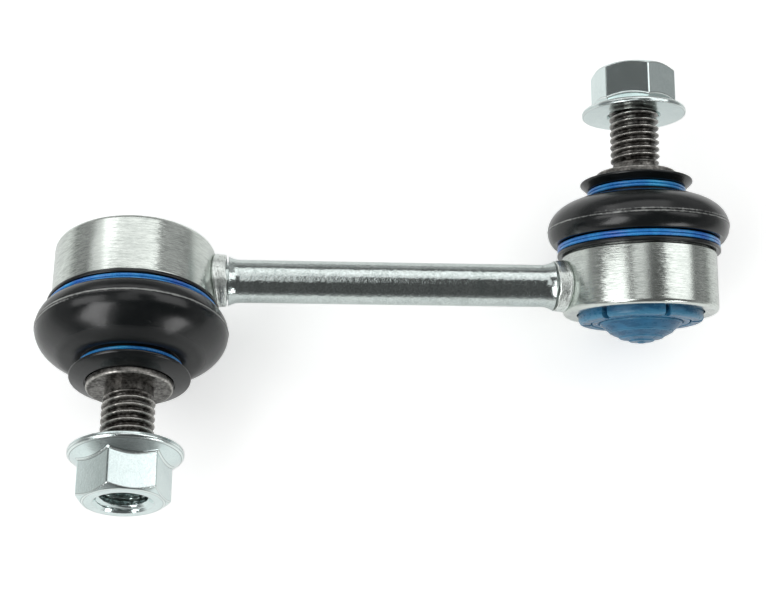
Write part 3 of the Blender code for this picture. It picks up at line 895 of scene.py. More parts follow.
@dataclass
class LinkRod:
    """The rod with its two upset ends, and the weld that holds each end."""

    frame: AxisFrame
    radius: float = 5.05
    flare_rise: float = 0.8
    flare_length: float = 2.8
    flare_rows: int = 14
    core: float = 4.4
    face: float = 38.5
    core_end: float = 41.6
    columns: int = 128
    weld_columns: int = 160
    weld_rows: int = 33
    wall: float = 18.55
    weld_end: float = 21.0
    weld_radius: float = 6.0
    weld_painted_gap_shade: float = 0.15
    edge_drop: float = 0.35
    edge_reach: float = 0.53
    toe_swell: float = 0.22
    toe_place: float = 0.12
    toe_width: float = 0.16
    belly: float = 0.10
    bead_count: float = 5.2
    bead_height: float = 0.012
    lumps: Waves = ((0.05, 2.0, 0.4), (0.045, 5.0, 1.9), (0.03, 9.0, 0.8), (0.02, 17.0, 2.6))
    bead_wander: Waves = ((1.1, 3.0, 1.0), (0.7, 7.0, 0.3), (0.5, 16.0, 2.2))
    end_wander: Waves = ((0.14, 2.0, 2.0), (0.07, 5.0, 0.6), (0.04, 11.0, 1.2))
    plate: Finish = field(default_factory=lambda: ZincPlate(
        dark=(0.44, 0.50, 0.485), light=(0.69, 0.755, 0.74), speckle_size=0.30,
        speckle_depth=0.021, gloss=0.10, rub=0.0, edge_line=0.9))
    weld_metal: Finish = field(default_factory=WeldMetal)

    def drawn(self) -> None:
        """Turn the rod: radius + rise (1 - share)^2 over each upset end, share its length."""
        share = np.linspace(0.0, 1.0, self.flare_rows)
        flare = self.radius + self.flare_rise * (1 - share) ** 2
        half = [(0.0, self.core_end, 0.0), (self.core, self.core_end, 0.3),
                (self.core, self.face, 0.0)]
        half += [(float(r), self.face - self.flare_length * float(s), 0.25 if s == 0 else 0.0)
                 for r, s in zip(flare, share)]
        corners = half + [(r, -s, rounding) for r, s, rounding in reversed(half)]
        grid = turned(profile_of(corners, 4, closed=False), self.columns, closed=False)
        item = piece_of("rod_drawn", self.frame, [grid], self.plate.material(self.frame))
        fit(item, "link", "rod")

    def weld(self, side: "BallEnd") -> None:
        """Lay the weld between the housing's wall and the rod's upset end.

        With s the share of the way along the rod, its station runs from the saddle,
        sqrt(wall^2 - (radius sin angle)^2), to a slightly wavy far edge. Its radius has
        rounded edges, sqrt(1 - ((s - 1/2) / reach)^8), a swollen toe at the housing,
        exp(-((s - place) / width)^2), a belly, sin(pi s), low lumps round the rod, and the
        lines of the bead, cos(count turns of s, shifted round the rod).

        Args:
            side: The ball joint whose housing it holds.
        """
        frame = side.rod_frame
        angle = np.linspace(0.0, math.tau, self.weld_columns, endpoint=False)[:, None]
        share = np.linspace(0.0, 1.0, self.weld_rows)[None, :]
        toe = self.toe_swell * np.exp(-((share - self.toe_place) / self.toe_width) ** 2)
        swell = toe + self.belly * np.sin(math.pi * share)
        ridge = np.cos(math.tau * self.bead_count * share + ripple(angle, self.bead_wander))
        rounding = np.sqrt(np.clip(1 - ((share - 0.5) / self.edge_reach) ** 8, 0.0, 1.0))
        outer = (self.weld_radius - self.edge_drop + self.edge_drop * rounding + swell
                 + ripple(angle, self.lumps) + self.bead_height * ridge * np.sin(math.pi * share))
        lining = np.full((self.weld_columns, 2), self.core + self.weld_painted_gap_shade)
        radius = np.concatenate([outer, lining], axis=1)
        share = np.concatenate([share, [[1.0, 0.0]]], axis=1)
        start = np.sqrt(self.wall**2 - (radius * np.sin(angle)) ** 2)
        end = self.weld_end + ripple(angle, self.end_wander)
        station = start + (end - start) * share
        wear = np.concatenate([0.5 + 0.5 * ridge, 0.0 * lining], axis=1)
        grid = Grid(radius, angle + 0.0 * radius, station, wear, closed_rows=True)
        item = piece_of(f"{side.name}_weld_run", frame, [grid], self.weld_metal.material(frame))
        fit(item, "link", f"{side.name}_weld")


@dataclass
class BallEnd:
    """One ball joint, with the names of its bodies and its two axis frames."""

    name: str
    sign: int
    hex_phase: float

    @property
    def frame(self) -> AxisFrame:
        """Axis frame on the stud.

        Returns:
            The frame, its origin on the ball's centre and local Z towards the nut.
        """
        origin = (self.sign * CENTRE_DISTANCE / 2, 0.0, ROD_HEIGHT)
        along = (0.0, self.sign * math.cos(STUD_LEAN), math.sin(STUD_LEAN))
        return AxisFrame(self.name, origin, along, (-float(self.sign), 0.0, 0.0))

    @property
    def rod_frame(self) -> AxisFrame:
        """Axis frame along the rod from the ball's centre, local X on the stud's direction."""
        back = (-float(self.sign), 0.0, 0.0)
        return AxisFrame(f"{self.name}_weld", self.frame.origin, back, self.frame.along)

    def add(self, label: str, grid: Grid, finish: Finish, body: str, node: str) -> None:
        """Build a piece on the stud's axis, dress it and let it ride.

        Args:
            label: The piece's name after the name of the end.
            grid: Its surface.
            finish: Its finish.
            body: The body that it moves with.
            node: The CAD node that it stands for, after the name of the end.
        """
        item = piece_of(f"{self.name}_{label}", self.frame, [grid], finish.material(self.frame))
        fit(item, body, f"{self.name}_{node}")


@dataclass
class Housing:
    """The turned ring, its boot neck and the plastic pieces inside it."""

    side: BallEnd
    radius: float = 18.5
    bottom: float = -6.7
    shoulder: float = 7.4
    bore: float = 15.1
    ceiling: float = 7.3
    throat: float = 10.93
    throat_top: float = 8.8
    neck: float = 17.2
    neck_bore: float = 13.0
    neck_top: float = 10.6
    groove: float = 16.5
    groove_top: float = 10.2
    groove_bottom: float = 9.0
    columns: int = 224
    shell_radius: float = 14.8
    shell_bottom: float = -8.8
    shell_top: float = 7.0
    shell_rounding: float = 1.3
    pocket: float = 11.9
    socket: float = 11.2
    grip: float = 6.2
    mouth_step: float = 0.8
    split: float = -3.3
    slot_count: int = 6
    slot_width: float = 1.5
    slot_depth: float = 4.0
    slot_phase: float = math.radians(39.0)
    slot_columns: int = 5
    bridge_columns: int = 31
    face_rows: int = 5
    face_start: float = 0.4
    cap_radius: float = 11.6
    cap_top: float = -3.6
    cap_face: float = -8.7
    cap_groove: float = 0.4
    cap_columns: int = 160
    seat_end: float = -19.0
    dome_radius: float = 9.8
    dome_height: float = 4.4
    dome_bottom: float = -13.3
    dome_power: float = 2.2
    terraces: tuple[float, ...] = (7.5, 5.2, 2.9)
    nipple: float = 1.0
    metal: Finish = field(default_factory=BrushedTurning)
    plastic: Finish = field(default_factory=MouldedPlastic)

    def ring(self) -> None:
        """Turn the housing: a closed profile with small roundings, carried round the axis."""
        corners = [(self.neck, self.neck_top, 0.2), (self.neck, self.groove_top, 0.0),
                   (self.groove, self.groove_top, 0.1), (self.groove, self.groove_bottom, 0.1),
                   (self.neck, self.groove_bottom, 0.0), (self.neck, self.shoulder, 0.1),
                   (self.radius, self.shoulder, 0.35), (self.radius, self.bottom, 1.2),
                   (self.bore, self.bottom, 0.5), (self.bore, self.ceiling, 0.0),
                   (self.throat, self.ceiling, 0.0), (self.throat, self.throat_top, 0.2),
                   (self.neck_bore, self.throat_top, 0.2), (self.neck_bore, self.neck_top, 0.2)]
        grid = turned(profile_of(corners, 8), self.columns)
        self.side.add("housing_ring", grid, self.metal, "link", "housing")

    def dome_station(self, radius: float) -> float:
        """Station of the cap's dome: height (radius / rim)^power over its lowest point."""
        share = radius / self.dome_radius
        return self.dome_height * share**self.dome_power + self.dome_bottom

    def cap(self) -> None:
        """Turn the end cap: a flat rim, a groove and a dome that falls in low terraces.

        Each terrace's edge stands a little proud of the dome and the next one's foot a
        little behind it, and a small nipple ends the dome.
        """
        groove, floor = self.dome_radius + self.cap_groove, self.cap_face + self.cap_groove
        corners = [(self.socket, self.cap_top, 0.0), (self.cap_radius, self.cap_top, 0.1),
                   (self.cap_radius, self.cap_face, 0.3), (groove, self.cap_face, 0.15),
                   (groove, floor, 0.1), (self.dome_radius, floor, 0.1),
                   (self.dome_radius, self.dome_station(self.dome_radius), 0.3)]
        for radius in self.terraces:
            foot = self.dome_station(radius)
            corners += [(radius + 0.24, foot + 0.14, 0.12), (radius - 0.06, foot - 0.22, 0.22)]
        foot = self.dome_station(self.nipple)
        corners += [(self.nipple + 0.1, foot, 0.2), (self.nipple - 0.2, foot - 0.3, 0.2),
                    (0.0, foot - 0.32, 0.0)]
        seat = arc((0.0, 0.0), (self.socket, self.socket), -90.0, self.seat_end, 16)
        profile = profile_of(seat + corners, 5, closed=False)
        grid = turned(profile, self.cap_columns, closed=False)
        self.side.add("domed_cap", grid, self.plastic, "link", "end_cap")

    def shell(self) -> None:
        """Turn the slotted bearing shell.

        Between two slots the angle runs from one slot's wall, asin(half width / radius) past
        its middle, to the next one's. Inside a slot the same profile is held at or above
        the slot's floor, so the walls of a slot are flat and parallel. Rows are added across
        the flat lower face, because the walls curve there in the angle.
        """
        split, grip = (math.degrees(math.asin(s / self.socket)) for s in (self.split, self.grip))
        mouth = math.sqrt(self.socket**2 - self.grip**2) + self.mouth_step
        corners = [(self.shell_radius, self.shell_top, 0.1),
                   (self.shell_radius, self.shell_bottom, self.shell_rounding),
                   (self.pocket, self.shell_bottom, 0.35), (self.pocket, self.split, 0.0)]
        corners += arc((0.0, 0.0), (self.socket, self.socket), split, grip, 14)
        corners.append((mouth, self.shell_top, 0.1))
        profile = profile_of(corners, 6)
        face = np.linspace(self.pocket + self.face_start, self.shell_radius - self.shell_rounding,
                           self.face_rows)[::-1]
        flat = np.column_stack([face, np.full_like(face, self.shell_bottom), 0.0 * face])
        cut = int(np.argmax(profile[:, 1] <= self.shell_bottom + REPEAT)) + 1
        profile = np.concatenate([profile[:cut], flat, profile[cut:]])
        radius, station, wear = (profile[None, :, k] for k in range(3))
        half = np.arcsin(np.minimum(self.slot_width / 2 / radius, 1.0))
        pitch = math.tau / self.slot_count
        floor = self.shell_bottom + self.slot_depth
        inside = np.linspace(-1.0, 1.0, self.slot_columns)[:, None]
        between = np.linspace(0.0, 1.0, self.bridge_columns)[:, None]
        angles, stations = [], []
        for index in range(self.slot_count):
            middle = self.slot_phase + pitch * index
            angles += [middle + half * inside, middle + half + (pitch - 2 * half) * between]
            stations += [np.maximum(station, floor) + 0.0 * inside, station + 0.0 * between]
        angle = np.concatenate(angles)
        grid = Grid(radius + 0.0 * angle, angle, np.concatenate(stations), wear + 0.0 * angle,
                    closed_rows=True)
        self.side.add("slotted_shell", grid, self.plastic, "link", "bearing_shell")


@dataclass
class Boot:
    """The rubber boot in two halves, parted at its widest circle, and its wire rings."""

    side: BallEnd
    widest: float = 21.7
    widest_station: float = 14.03
    wall: float = 1.7
    parting_step: float = 0.06
    parting_drop: float = 0.002
    parting_rows: int = 6
    foot_radius: float = 18.5
    foot_depth: float = 4.2
    foot_turn: float = -54.05
    foot_station: float = 10.6
    foot_bore: float = 17.35
    foot_corners: tuple[Corner, ...] = (
        (18.5, 10.63, 0.15), (18.5, 8.6, 0.15), (19.5, 8.6, 0.3), (19.5, 7.7, 0.3))
    bead: float = 16.8
    bead_bottom: float = 9.3
    bead_top: float = 9.9
    foot_lining: tuple[float, float] = (17.5, 3.1)
    crown_radius: float = 11.2
    crown_station: float = 21.43
    seat_station: float = 19.6
    lip_radius: float = 13.5
    lip_root: float = 11.9
    lip_foot: float = 23.9
    lip_corners: tuple[Corner, ...] = (
        (10.0, 26.72, 0.1), (13.5, 25.95, 0.25), (13.5, 25.5, 0.25), (11.95, 24.02, 0.2),
        (11.1, 23.95, 0.1), (11.1, 21.5, 0.3))
    crown_lining: tuple[float, float] = (10.9, 19.73)
    throat_corners: tuple[Corner, ...] = (
        (9.15, 19.73, 0.2), (9.15, 26.4, 0.1), (10.0, 26.4, 0.1))
    lip_lean: float = 0.0
    fold: float = 0.0
    fold_radius: float = 14.2
    fold_width: float = 3.4
    fold_start: float = 1.5
    skin_inside: float = 0.97
    skin_top: float = 1.005
    flash_width: float = 0.22
    flash_height: float = 0.13
    flash_wear: float = 1.0
    flash_waves: Waves = ((0.2, 5.0, 0.5), (0.15, 13.0, 2.0), (0.15, 29.0, 1.0))
    second_flash: float = 0.62
    second_place: float = 0.0
    second_height: float = 0.9
    columns: int = 192
    wire_columns: int = 144
    foot_wire: tuple[float, float, float] = (0.8, 19.05, 9.615)
    collar_wire: tuple[float, float, float] = (0.75, 11.5, 23.035)
    collar_lift: float = 0.0
    wire_ends: float = math.radians(20.0)
    crossing_place: float = math.radians(15.0)
    crossing_span: float = math.radians(30.0)
    turn_painted_gap_shade: float = 0.03
    rubber: Finish = field(default_factory=MouldedRubber)
    lacquer: Finish = field(default_factory=LacqueredWire)

    def _flash(self, grid: Grid) -> Grid:
        """Raise the flash: height exp(-(distance / width)^2) on the outer skin.

        A second line lies beside the first over part of the turn.

        Args:
            grid: A half of the boot.

        Returns:
            The same half, with the flash in its radius and wear.
        """
        off = grid.station - self.widest_station
        near = np.exp(-((off / self.flash_width) ** 2))
        beside = np.exp(-(((off - self.second_flash) / self.flash_width) ** 2))
        reach = np.clip(0.2 + 1.4 * np.cos(grid.angle - self.second_place), 0.0, 1.0)
        outer = grid.radius > self.widest - 0.4
        uneven = 0.65 + ripple(grid.angle, self.flash_waves)
        line = np.where(outer, near + self.second_height * reach * beside, 0.0)
        grid.radius = grid.radius + self.flash_height * line * uneven
        grid.wear = line * (0.6 + uneven * 0.5) * self.flash_wear
        return grid

    def _lean(self, grid: Grid) -> Grid:
        """Press the lip back on its upper side and fold the crown up to meet it.

        The lip's station drops by lean * share * upper, where upper is (1 + sin angle) / 2
        with the angle counted from the level direction, and share runs from 0 at the lip's
        root to 1 at its rim. The crown's outer skin, past an ellipse a little inside it,
        rises by fold * upper^2 * exp(-((radius - fold's radius) / its width)^2), from
        nothing at the collar.

        Args:
            grid: A half of the boot.

        Returns:
            The same half, with its stations changed.
        """
        share = (grid.radius - self.lip_root) / (self.lip_radius - self.lip_root)
        share = np.where(grid.station > self.lip_foot, np.clip(share, 0.0, 1.0), 0.0)
        upper = 0.5 + 0.5 * np.sin(grid.angle)
        out = grid.radius - self.crown_radius
        width = out / (self.widest - self.crown_radius)
        height = grid.station - self.widest_station
        height = height / (self.crown_station - self.widest_station)
        skin = width**2 + height**2 > self.skin_inside
        skin = skin & (height < self.skin_top) & (height > 0.0)
        swell = np.exp(-(((grid.radius - self.fold_radius) / self.fold_width) ** 2))
        swell = swell * upper**2 * np.clip(out / self.fold_start, 0.0, 1.0)
        grid.station = grid.station - self.lip_lean * share * upper
        grid.station = grid.station + np.where(skin, self.fold * swell, 0.0)
        return grid

    def halves(self) -> None:
        """Turn the foot half and the crown half, each from elliptical arcs.

        Beside the parting the rows are close, on radius = widest - drop k^2 for row k.
        """
        middle, inner = self.widest_station, self.widest - self.wall
        fine = [(self.widest - self.parting_drop * k * k, self.parting_step * k)
                for k in range(self.parting_rows)]
        clear = self.parting_step * self.parting_rows
        foot = [(r, middle - s, 0.0) for r, s in fine]
        foot += [corner for corner in arc((self.foot_radius, middle),
                                          (self.widest - self.foot_radius, self.foot_depth),
                                          0.0, self.foot_turn, 30)
                 if corner[1] < middle - clear]
        foot += self.foot_corners
        foot += [(self.foot_bore, 7.7, 0.1), (self.foot_bore, self.bead_bottom, 0.0),
                 (self.bead, self.bead_bottom, 0.0), (self.bead, self.bead_top, 0.0),
                 (self.foot_bore, self.bead_top, 0.0)]
        radius, depth = self.foot_lining
        foot += arc((radius, middle), (inner - radius, depth), -90.0, 0.0, 14)
        skin = arc((self.crown_radius, middle),
                   (self.widest - self.crown_radius, self.crown_station - middle), 90.0, 0.0, 56)
        crown = [*self.lip_corners, *(corner for corner in skin if corner[1] > middle + clear)]
        crown += [(r, middle + s, 0.0) for r, s in reversed(fine)]
        radius, top = self.crown_lining
        crown += arc((radius, middle), (inner - radius, top - middle), 0.0, 90.0, 24)
        crown += self.throat_corners
        for half, corners in ((Half.FOOT, foot), (Half.CROWN, crown)):
            grid = turned(profile_of(corners, 5), self.columns)
            self._bend(half, self._lean(self._flash(grid)))

    def _bend(self, half: Half, grid: Grid) -> None:
        """Make a half of the boot with its place baked into its mesh; the foot half also hides
        the CAD boot.

        Args:
            half: Which half.
            grid: Its surface.
        """
        name, frame, gaiter = self.side.name, self.side.frame, f"{self.side.name}_gaiter"
        item = piece_of(f"{name}_{half.value}", frame, [grid], self.rubber.material(frame))
        middle = frame.point(self.widest_station)
        if half is Half.FOOT:
            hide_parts(f"{name}_boot")
            frame.point(self.foot_station)
            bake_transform(item)
        else:
            frame.point(self.seat_station)
            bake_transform(item)
        LOG.info("%s: %d faces, bends with %s", item.name, len(item.data.polygons), gaiter)

    def _coil(self, wire: float, radius: float, middle: float, lift: float) -> Grid:
        """Wind a ring of two flat turns.

        The wire's centre goes twice round at a constant radius. Its station changes by one
        wire over a short crossing, as 3 s^2 - 2 s^3 of the crossing's share s, and its ends
        are rounded. On the upper side the whole ring is pushed up by lift (1 + sin angle) / 2.

        Args:
            wire: The wire's thickness.
            radius: Radius of its centre's turns.
            middle: Station between the two turns.
            lift: Most that the ring is pushed up.

        Returns:
            The wire's surface.
        """
        start, finish = self.wire_ends, 2 * math.tau - self.wire_ends
        table_side = -math.pi / 2
        turn = np.linspace(start, finish, 2 * self.wire_columns)
        crossing = math.tau - self.crossing_place
        share = np.clip((turn - crossing) / self.crossing_span, 0.0, 1.0)
        step = share * share * (3 - 2 * share) - 0.5
        station = middle + (wire + self.turn_painted_gap_shade) * step
        quarter = np.linspace(0.0, math.pi / 2, 5)
        cap = np.sin(quarter)
        size = np.concatenate([cap, np.ones(turn.size), cap[::-1]]) * wire / 2
        reach = (1 - np.cos(quarter)) * wire / 2 / radius
        turn = np.concatenate([start - reach[::-1], turn, finish + reach]) + table_side
        station = np.concatenate([np.full(5, station[0]), station, np.full(5, station[-1])])
        station = station + lift * (0.5 + 0.5 * np.sin(turn))
        around = np.linspace(0.0, math.tau, 14, endpoint=False)[None, :]
        outward, upward = np.cos(around), np.sin(around)
        size = size[:, None]
        # The wire's outer side is 1 in the wear mask and its inner side 0; the lacquer paints
        # shade where the mask is low.
        return Grid(radius + size * outward, turn[:, None] + 0.0 * around,
                    station[:, None] + size * upward, 0.5 + 0.5 * outward,
                    closed_rows=True, closed_columns=False)

    def coils(self) -> None:
        """Wind the ring round the foot and the ring round the collar."""
        foot = self._coil(*self.foot_wire, 0.0)
        collar = self._coil(*self.collar_wire, self.collar_lift)
        self.side.add("foot_coil", foot, self.lacquer, "link", "foot_ring")
        self.side.add("collar_coil", collar, self.lacquer, f"{self.side.name}_seal",
                      "collar_ring")


@dataclass
class Stud:
    """The ball stud: ball, neck, boot seat, disc, undercut and rolled thread."""

    side: BallEnd
    ball: float = 11.0
    neck: float = 5.25
    neck_top: float = 15.0
    seat: float = 9.0
    seat_foot: float = 19.6
    disc: float = 9.7
    disc_foot: float = 26.7
    face: float = 28.1
    undercut: float = 5.44
    undercut_end: float = 29.8
    thread_start: float = 29.9
    run_out: float = 1.2
    end: float = 49.0
    end_chamfer: float = 1.05
    columns: int = 120
    rows_per_turn: int = 20
    crest_wear: float = 0.9
    skin_wear: float = 0.22
    edge_wear: float = 0.60
    steel: Finish = field(default_factory=PhosphatedStud)

    def turned_stud(self) -> None:
        """Turn the stud, its thread's radius rising from root to crest along a helix.

        Below the disc the seat narrows to the neck as a half cosine. The thread fades into
        the undercut over its run-out and is held under the end's chamfer of 45 degrees.
        """
        neck_start = math.degrees(math.acos(self.neck / self.ball))
        bend = np.linspace(0.0, 1.0, 14)
        flare = self.seat + (self.neck - self.seat) * (0.5 - 0.5 * np.cos(math.pi * bend))
        neck_length = self.seat_foot - self.neck_top
        shank = [(self.undercut, self.undercut_end, 0.0), (self.undercut, self.face, 0.0),
                 (self.disc, self.face, 0.6), (self.disc, self.disc_foot, 0.2),
                 (self.seat, self.disc_foot, 0.1)]
        shank += [(float(r), self.seat_foot - neck_length * float(s), 0.0)
                  for r, s in zip(flare, bend)]
        shank += arc((0.0, 0.0), (self.ball, self.ball), neck_start, -90.0, 60)
        lower = profile_of(shank, 5, closed=False)
        count = int((self.end - self.thread_start) / THREAD_PITCH * self.rows_per_turn)
        stations = np.linspace(self.end, self.thread_start, count)[None, :]
        angle = np.linspace(0.0, math.tau, self.columns, endpoint=False)[:, None]
        fade = np.clip((stations - self.thread_start) / self.run_out, 0.0, 1.0)
        root = THREAD_CREST - THREAD_DEPTH
        cut = root + THREAD_DEPTH * thread_share(angle, stations)
        cut = self.undercut + (cut - self.undercut) * fade
        limit = THREAD_CREST - self.end_chamfer + (self.end - stations)
        thread = np.minimum(cut, np.maximum(limit, 0.0))
        height = np.clip((thread - root) / THREAD_DEPTH, 0.0, 1.0)
        tip = np.zeros((self.columns, 1))
        radius = np.concatenate([tip, thread, lower[None, :, 0] + 0.0 * angle], axis=1)
        station = np.concatenate([tip + self.end, stations + 0.0 * angle,
                                  lower[None, :, 1] + 0.0 * angle], axis=1)
        # Crests and roundings rise in the mask for rubbing and a painted highlight; the thread's
        # roots stay at 0 for painted shade.
        wear = np.concatenate([tip, self.crest_wear * height**1.6,
                               self.skin_wear + self.edge_wear * lower[None, :, 2] + 0.0 * angle],
                              axis=1)
        grid = Grid(radius, angle + 0.0 * radius, station, wear)
        self.side.add("threaded_stud", grid, self.steel, f"{self.side.name}_stud", "ball_stud")


@dataclass
class FlangeNut:
    """The forged flange nut: a chamfered hexagon on a coned flange, tapped through."""

    side: BallEnd
    face: float = 42.8
    end: float = 54.4
    across_flats: float = 18.0
    corner_rounding: float = 0.55
    corner_span: float = 2.4
    corner_columns: int = 9
    flat_columns: int = 14
    flange: float = 12.6
    flange_edge: float = 0.25
    rim: float = 1.2
    rim_chamfer: float = 0.3
    cone_slope: float = 0.6667
    end_circle: float = 8.7
    chamfer_slope: float = 0.65
    mouth: float = 6.5
    mouth_slope: float = 0.5
    tapped_crest: float = 5.2
    tapped_rows: int = 128
    thread_clearance: float = 0.12
    plate: Finish = field(default_factory=lambda: ZincPlate(
        slot=Slot.NUT, dark=(0.66, 0.77, 0.765), light=(0.79, 0.89, 0.88), speckle_size=0.22,
        speckle_depth=0.0060, gloss=0.13))

    def _angles(self) -> np.ndarray:
        """Spread the columns so that they crowd at the hexagon's rounded corners.

        Returns:
            Angles round the axis, from the first corner on.
        """
        near, next_near = math.radians(self.corner_span), math.radians(60.0 - self.corner_span)
        corner = np.linspace(-1.0, 1.0, self.corner_columns) * near
        flat = np.linspace(near, next_near, self.flat_columns + 2)[1:-1]
        sixth = np.concatenate([corner, flat])
        turns = np.arange(6)[:, None] * math.tau / 6
        return (self.side.hex_phase + turns + sixth[None, :]).ravel()

    def _hexagon(self, angle: np.ndarray) -> np.ndarray:
        """Work out the hexagon: half the flats / cos, its corners cut by a small circle.

        Near a corner the radius is c cos d + sqrt(p^2 - c^2 sin^2 d), with d the angle from
        the corner, p the rounding and c the place of the rounding's centre.

        Args:
            angle: Angles round the axis.

        Returns:
            The radius at each angle.
        """
        half, p = self.across_flats / 2, self.corner_rounding
        sixth = math.tau / 6
        d = (angle - self.side.hex_phase + sixth / 2) % sixth - sixth / 2
        flat = half / np.cos(sixth / 2 - np.abs(d))
        c = (half - p) / math.cos(sixth / 2)
        inside = np.maximum(p**2 - (c * np.sin(d)) ** 2, 0.0)
        near = np.abs(d) < math.atan2(p * 0.5, c + p * math.cos(sixth / 2))
        return np.where(near, c * np.cos(d) + np.sqrt(inside), flat)

    def forged(self) -> None:
        """Build the nut: one rounded profile for each angle, closed by the tapped bore.

        The bore is the thread's helix with some clearance, cut off at the tapping hole and
        opened to a coned mouth at each face.
        """
        angle = self._angles()
        hexagon = self._hexagon(angle)
        top = self.end - self.chamfer_slope * (hexagon - self.end_circle)
        cone_rim, cone_foot = self.flange - self.flange_edge, self.face + self.rim
        foot = cone_foot + self.cone_slope * (cone_rim - hexagon)
        corners = [(self.mouth, self.end, 0.12), (self.end_circle, self.end, 0.35),
                   (hexagon, top, 0.28), (hexagon, foot, 0.45),
                   (cone_rim, cone_foot + 0.02, 0.55),
                   (self.flange, cone_foot - self.rim_chamfer, 0.4),
                   (self.flange, self.face, 0.35), (self.mouth, self.face, 0.12)]
        ones = np.ones_like(angle)
        stack = np.stack([np.stack([part * ones for part in corner], axis=-1)
                          for corner in corners], axis=1)
        outer, wear = soften(stack, 5, closed=False)
        stations = np.linspace(self.face, self.end, self.tapped_rows)[None, :]
        column = angle[:, None]
        rise = thread_share(column, stations) * THREAD_DEPTH + THREAD_CREST - THREAD_DEPTH
        tapped = np.maximum(rise + self.thread_clearance, self.tapped_crest)
        depth = np.minimum((stations - self.face) * self.mouth_slope, self.end - stations)
        bore = np.maximum(tapped, self.mouth - depth)
        radius = np.concatenate([outer[..., 0], bore], axis=1)
        station = np.concatenate([outer[..., 1], stations + 0.0 * column], axis=1)
        wear_and_light_mask = np.concatenate([wear, 0.0 * bore], axis=1)
        grid = Grid(radius, column + 0.0 * radius, station, wear_and_light_mask, closed_rows=True)
        self.side.add("forged_nut", grid, self.plate, f"{self.side.name}_nut", "flange_nut")


# Studio


@dataclass(frozen=True)
class Softbox:
    """A square-edged soft light: its middle, the way its long sides run, and its two sides."""

    name: str
    middle: tuple[float, float, float]
    along: tuple[float, float, float]
    size: tuple[float, float]
    radiance: float

    def hang(self) -> None:
        """Place the lamp so that it faces the object; power is pi * area * radiance."""
        lamp = bpy.data.lights.new(self.name, "AREA")
        lamp.shape = "RECTANGLE"
        lamp.size, lamp.size_y = self.size
        lamp.energy = self.radiance * math.pi * self.size[0] * self.size[1]
        item = bpy.data.objects.new(self.name, lamp)
        along, middle = Vector(self.along).normalized(), Vector(self.middle)
        away = (middle - along * middle.dot(along)).normalized()
        turn = Matrix((along, away.cross(along), away)).transposed()
        item.matrix_world = Matrix.Translation(middle) @ turn.to_4x4()
        item.visible_camera = False
        bpy.context.scene.collection.objects.link(item)


@dataclass(frozen=True)
class Glow:
    """A soft pale patch of the surroundings: full within one angle and gone past another."""

    way: tuple[float, float, float]
    inner: float
    outer: float
    strength: float

    def shade(self, graph: Graph, direction: Any) -> Value:
        """Find the patch's strength in a direction, a smooth step on the angle's cosine.

        Args:
            graph: The surroundings' node tree.
            direction: The direction looked in.

        Returns:
            The strength.
        """
        inputs = {0: direction, 1: tuple(Vector(self.way).normalized())}
        node = graph.node("ShaderNodeVectorMath", {"operation": "DOT_PRODUCT"}, inputs)
        low, high = (math.cos(math.radians(angle)) for angle in (self.outer, self.inner))
        return Value(graph, node.outputs["Value"]).step(low, high) * self.strength


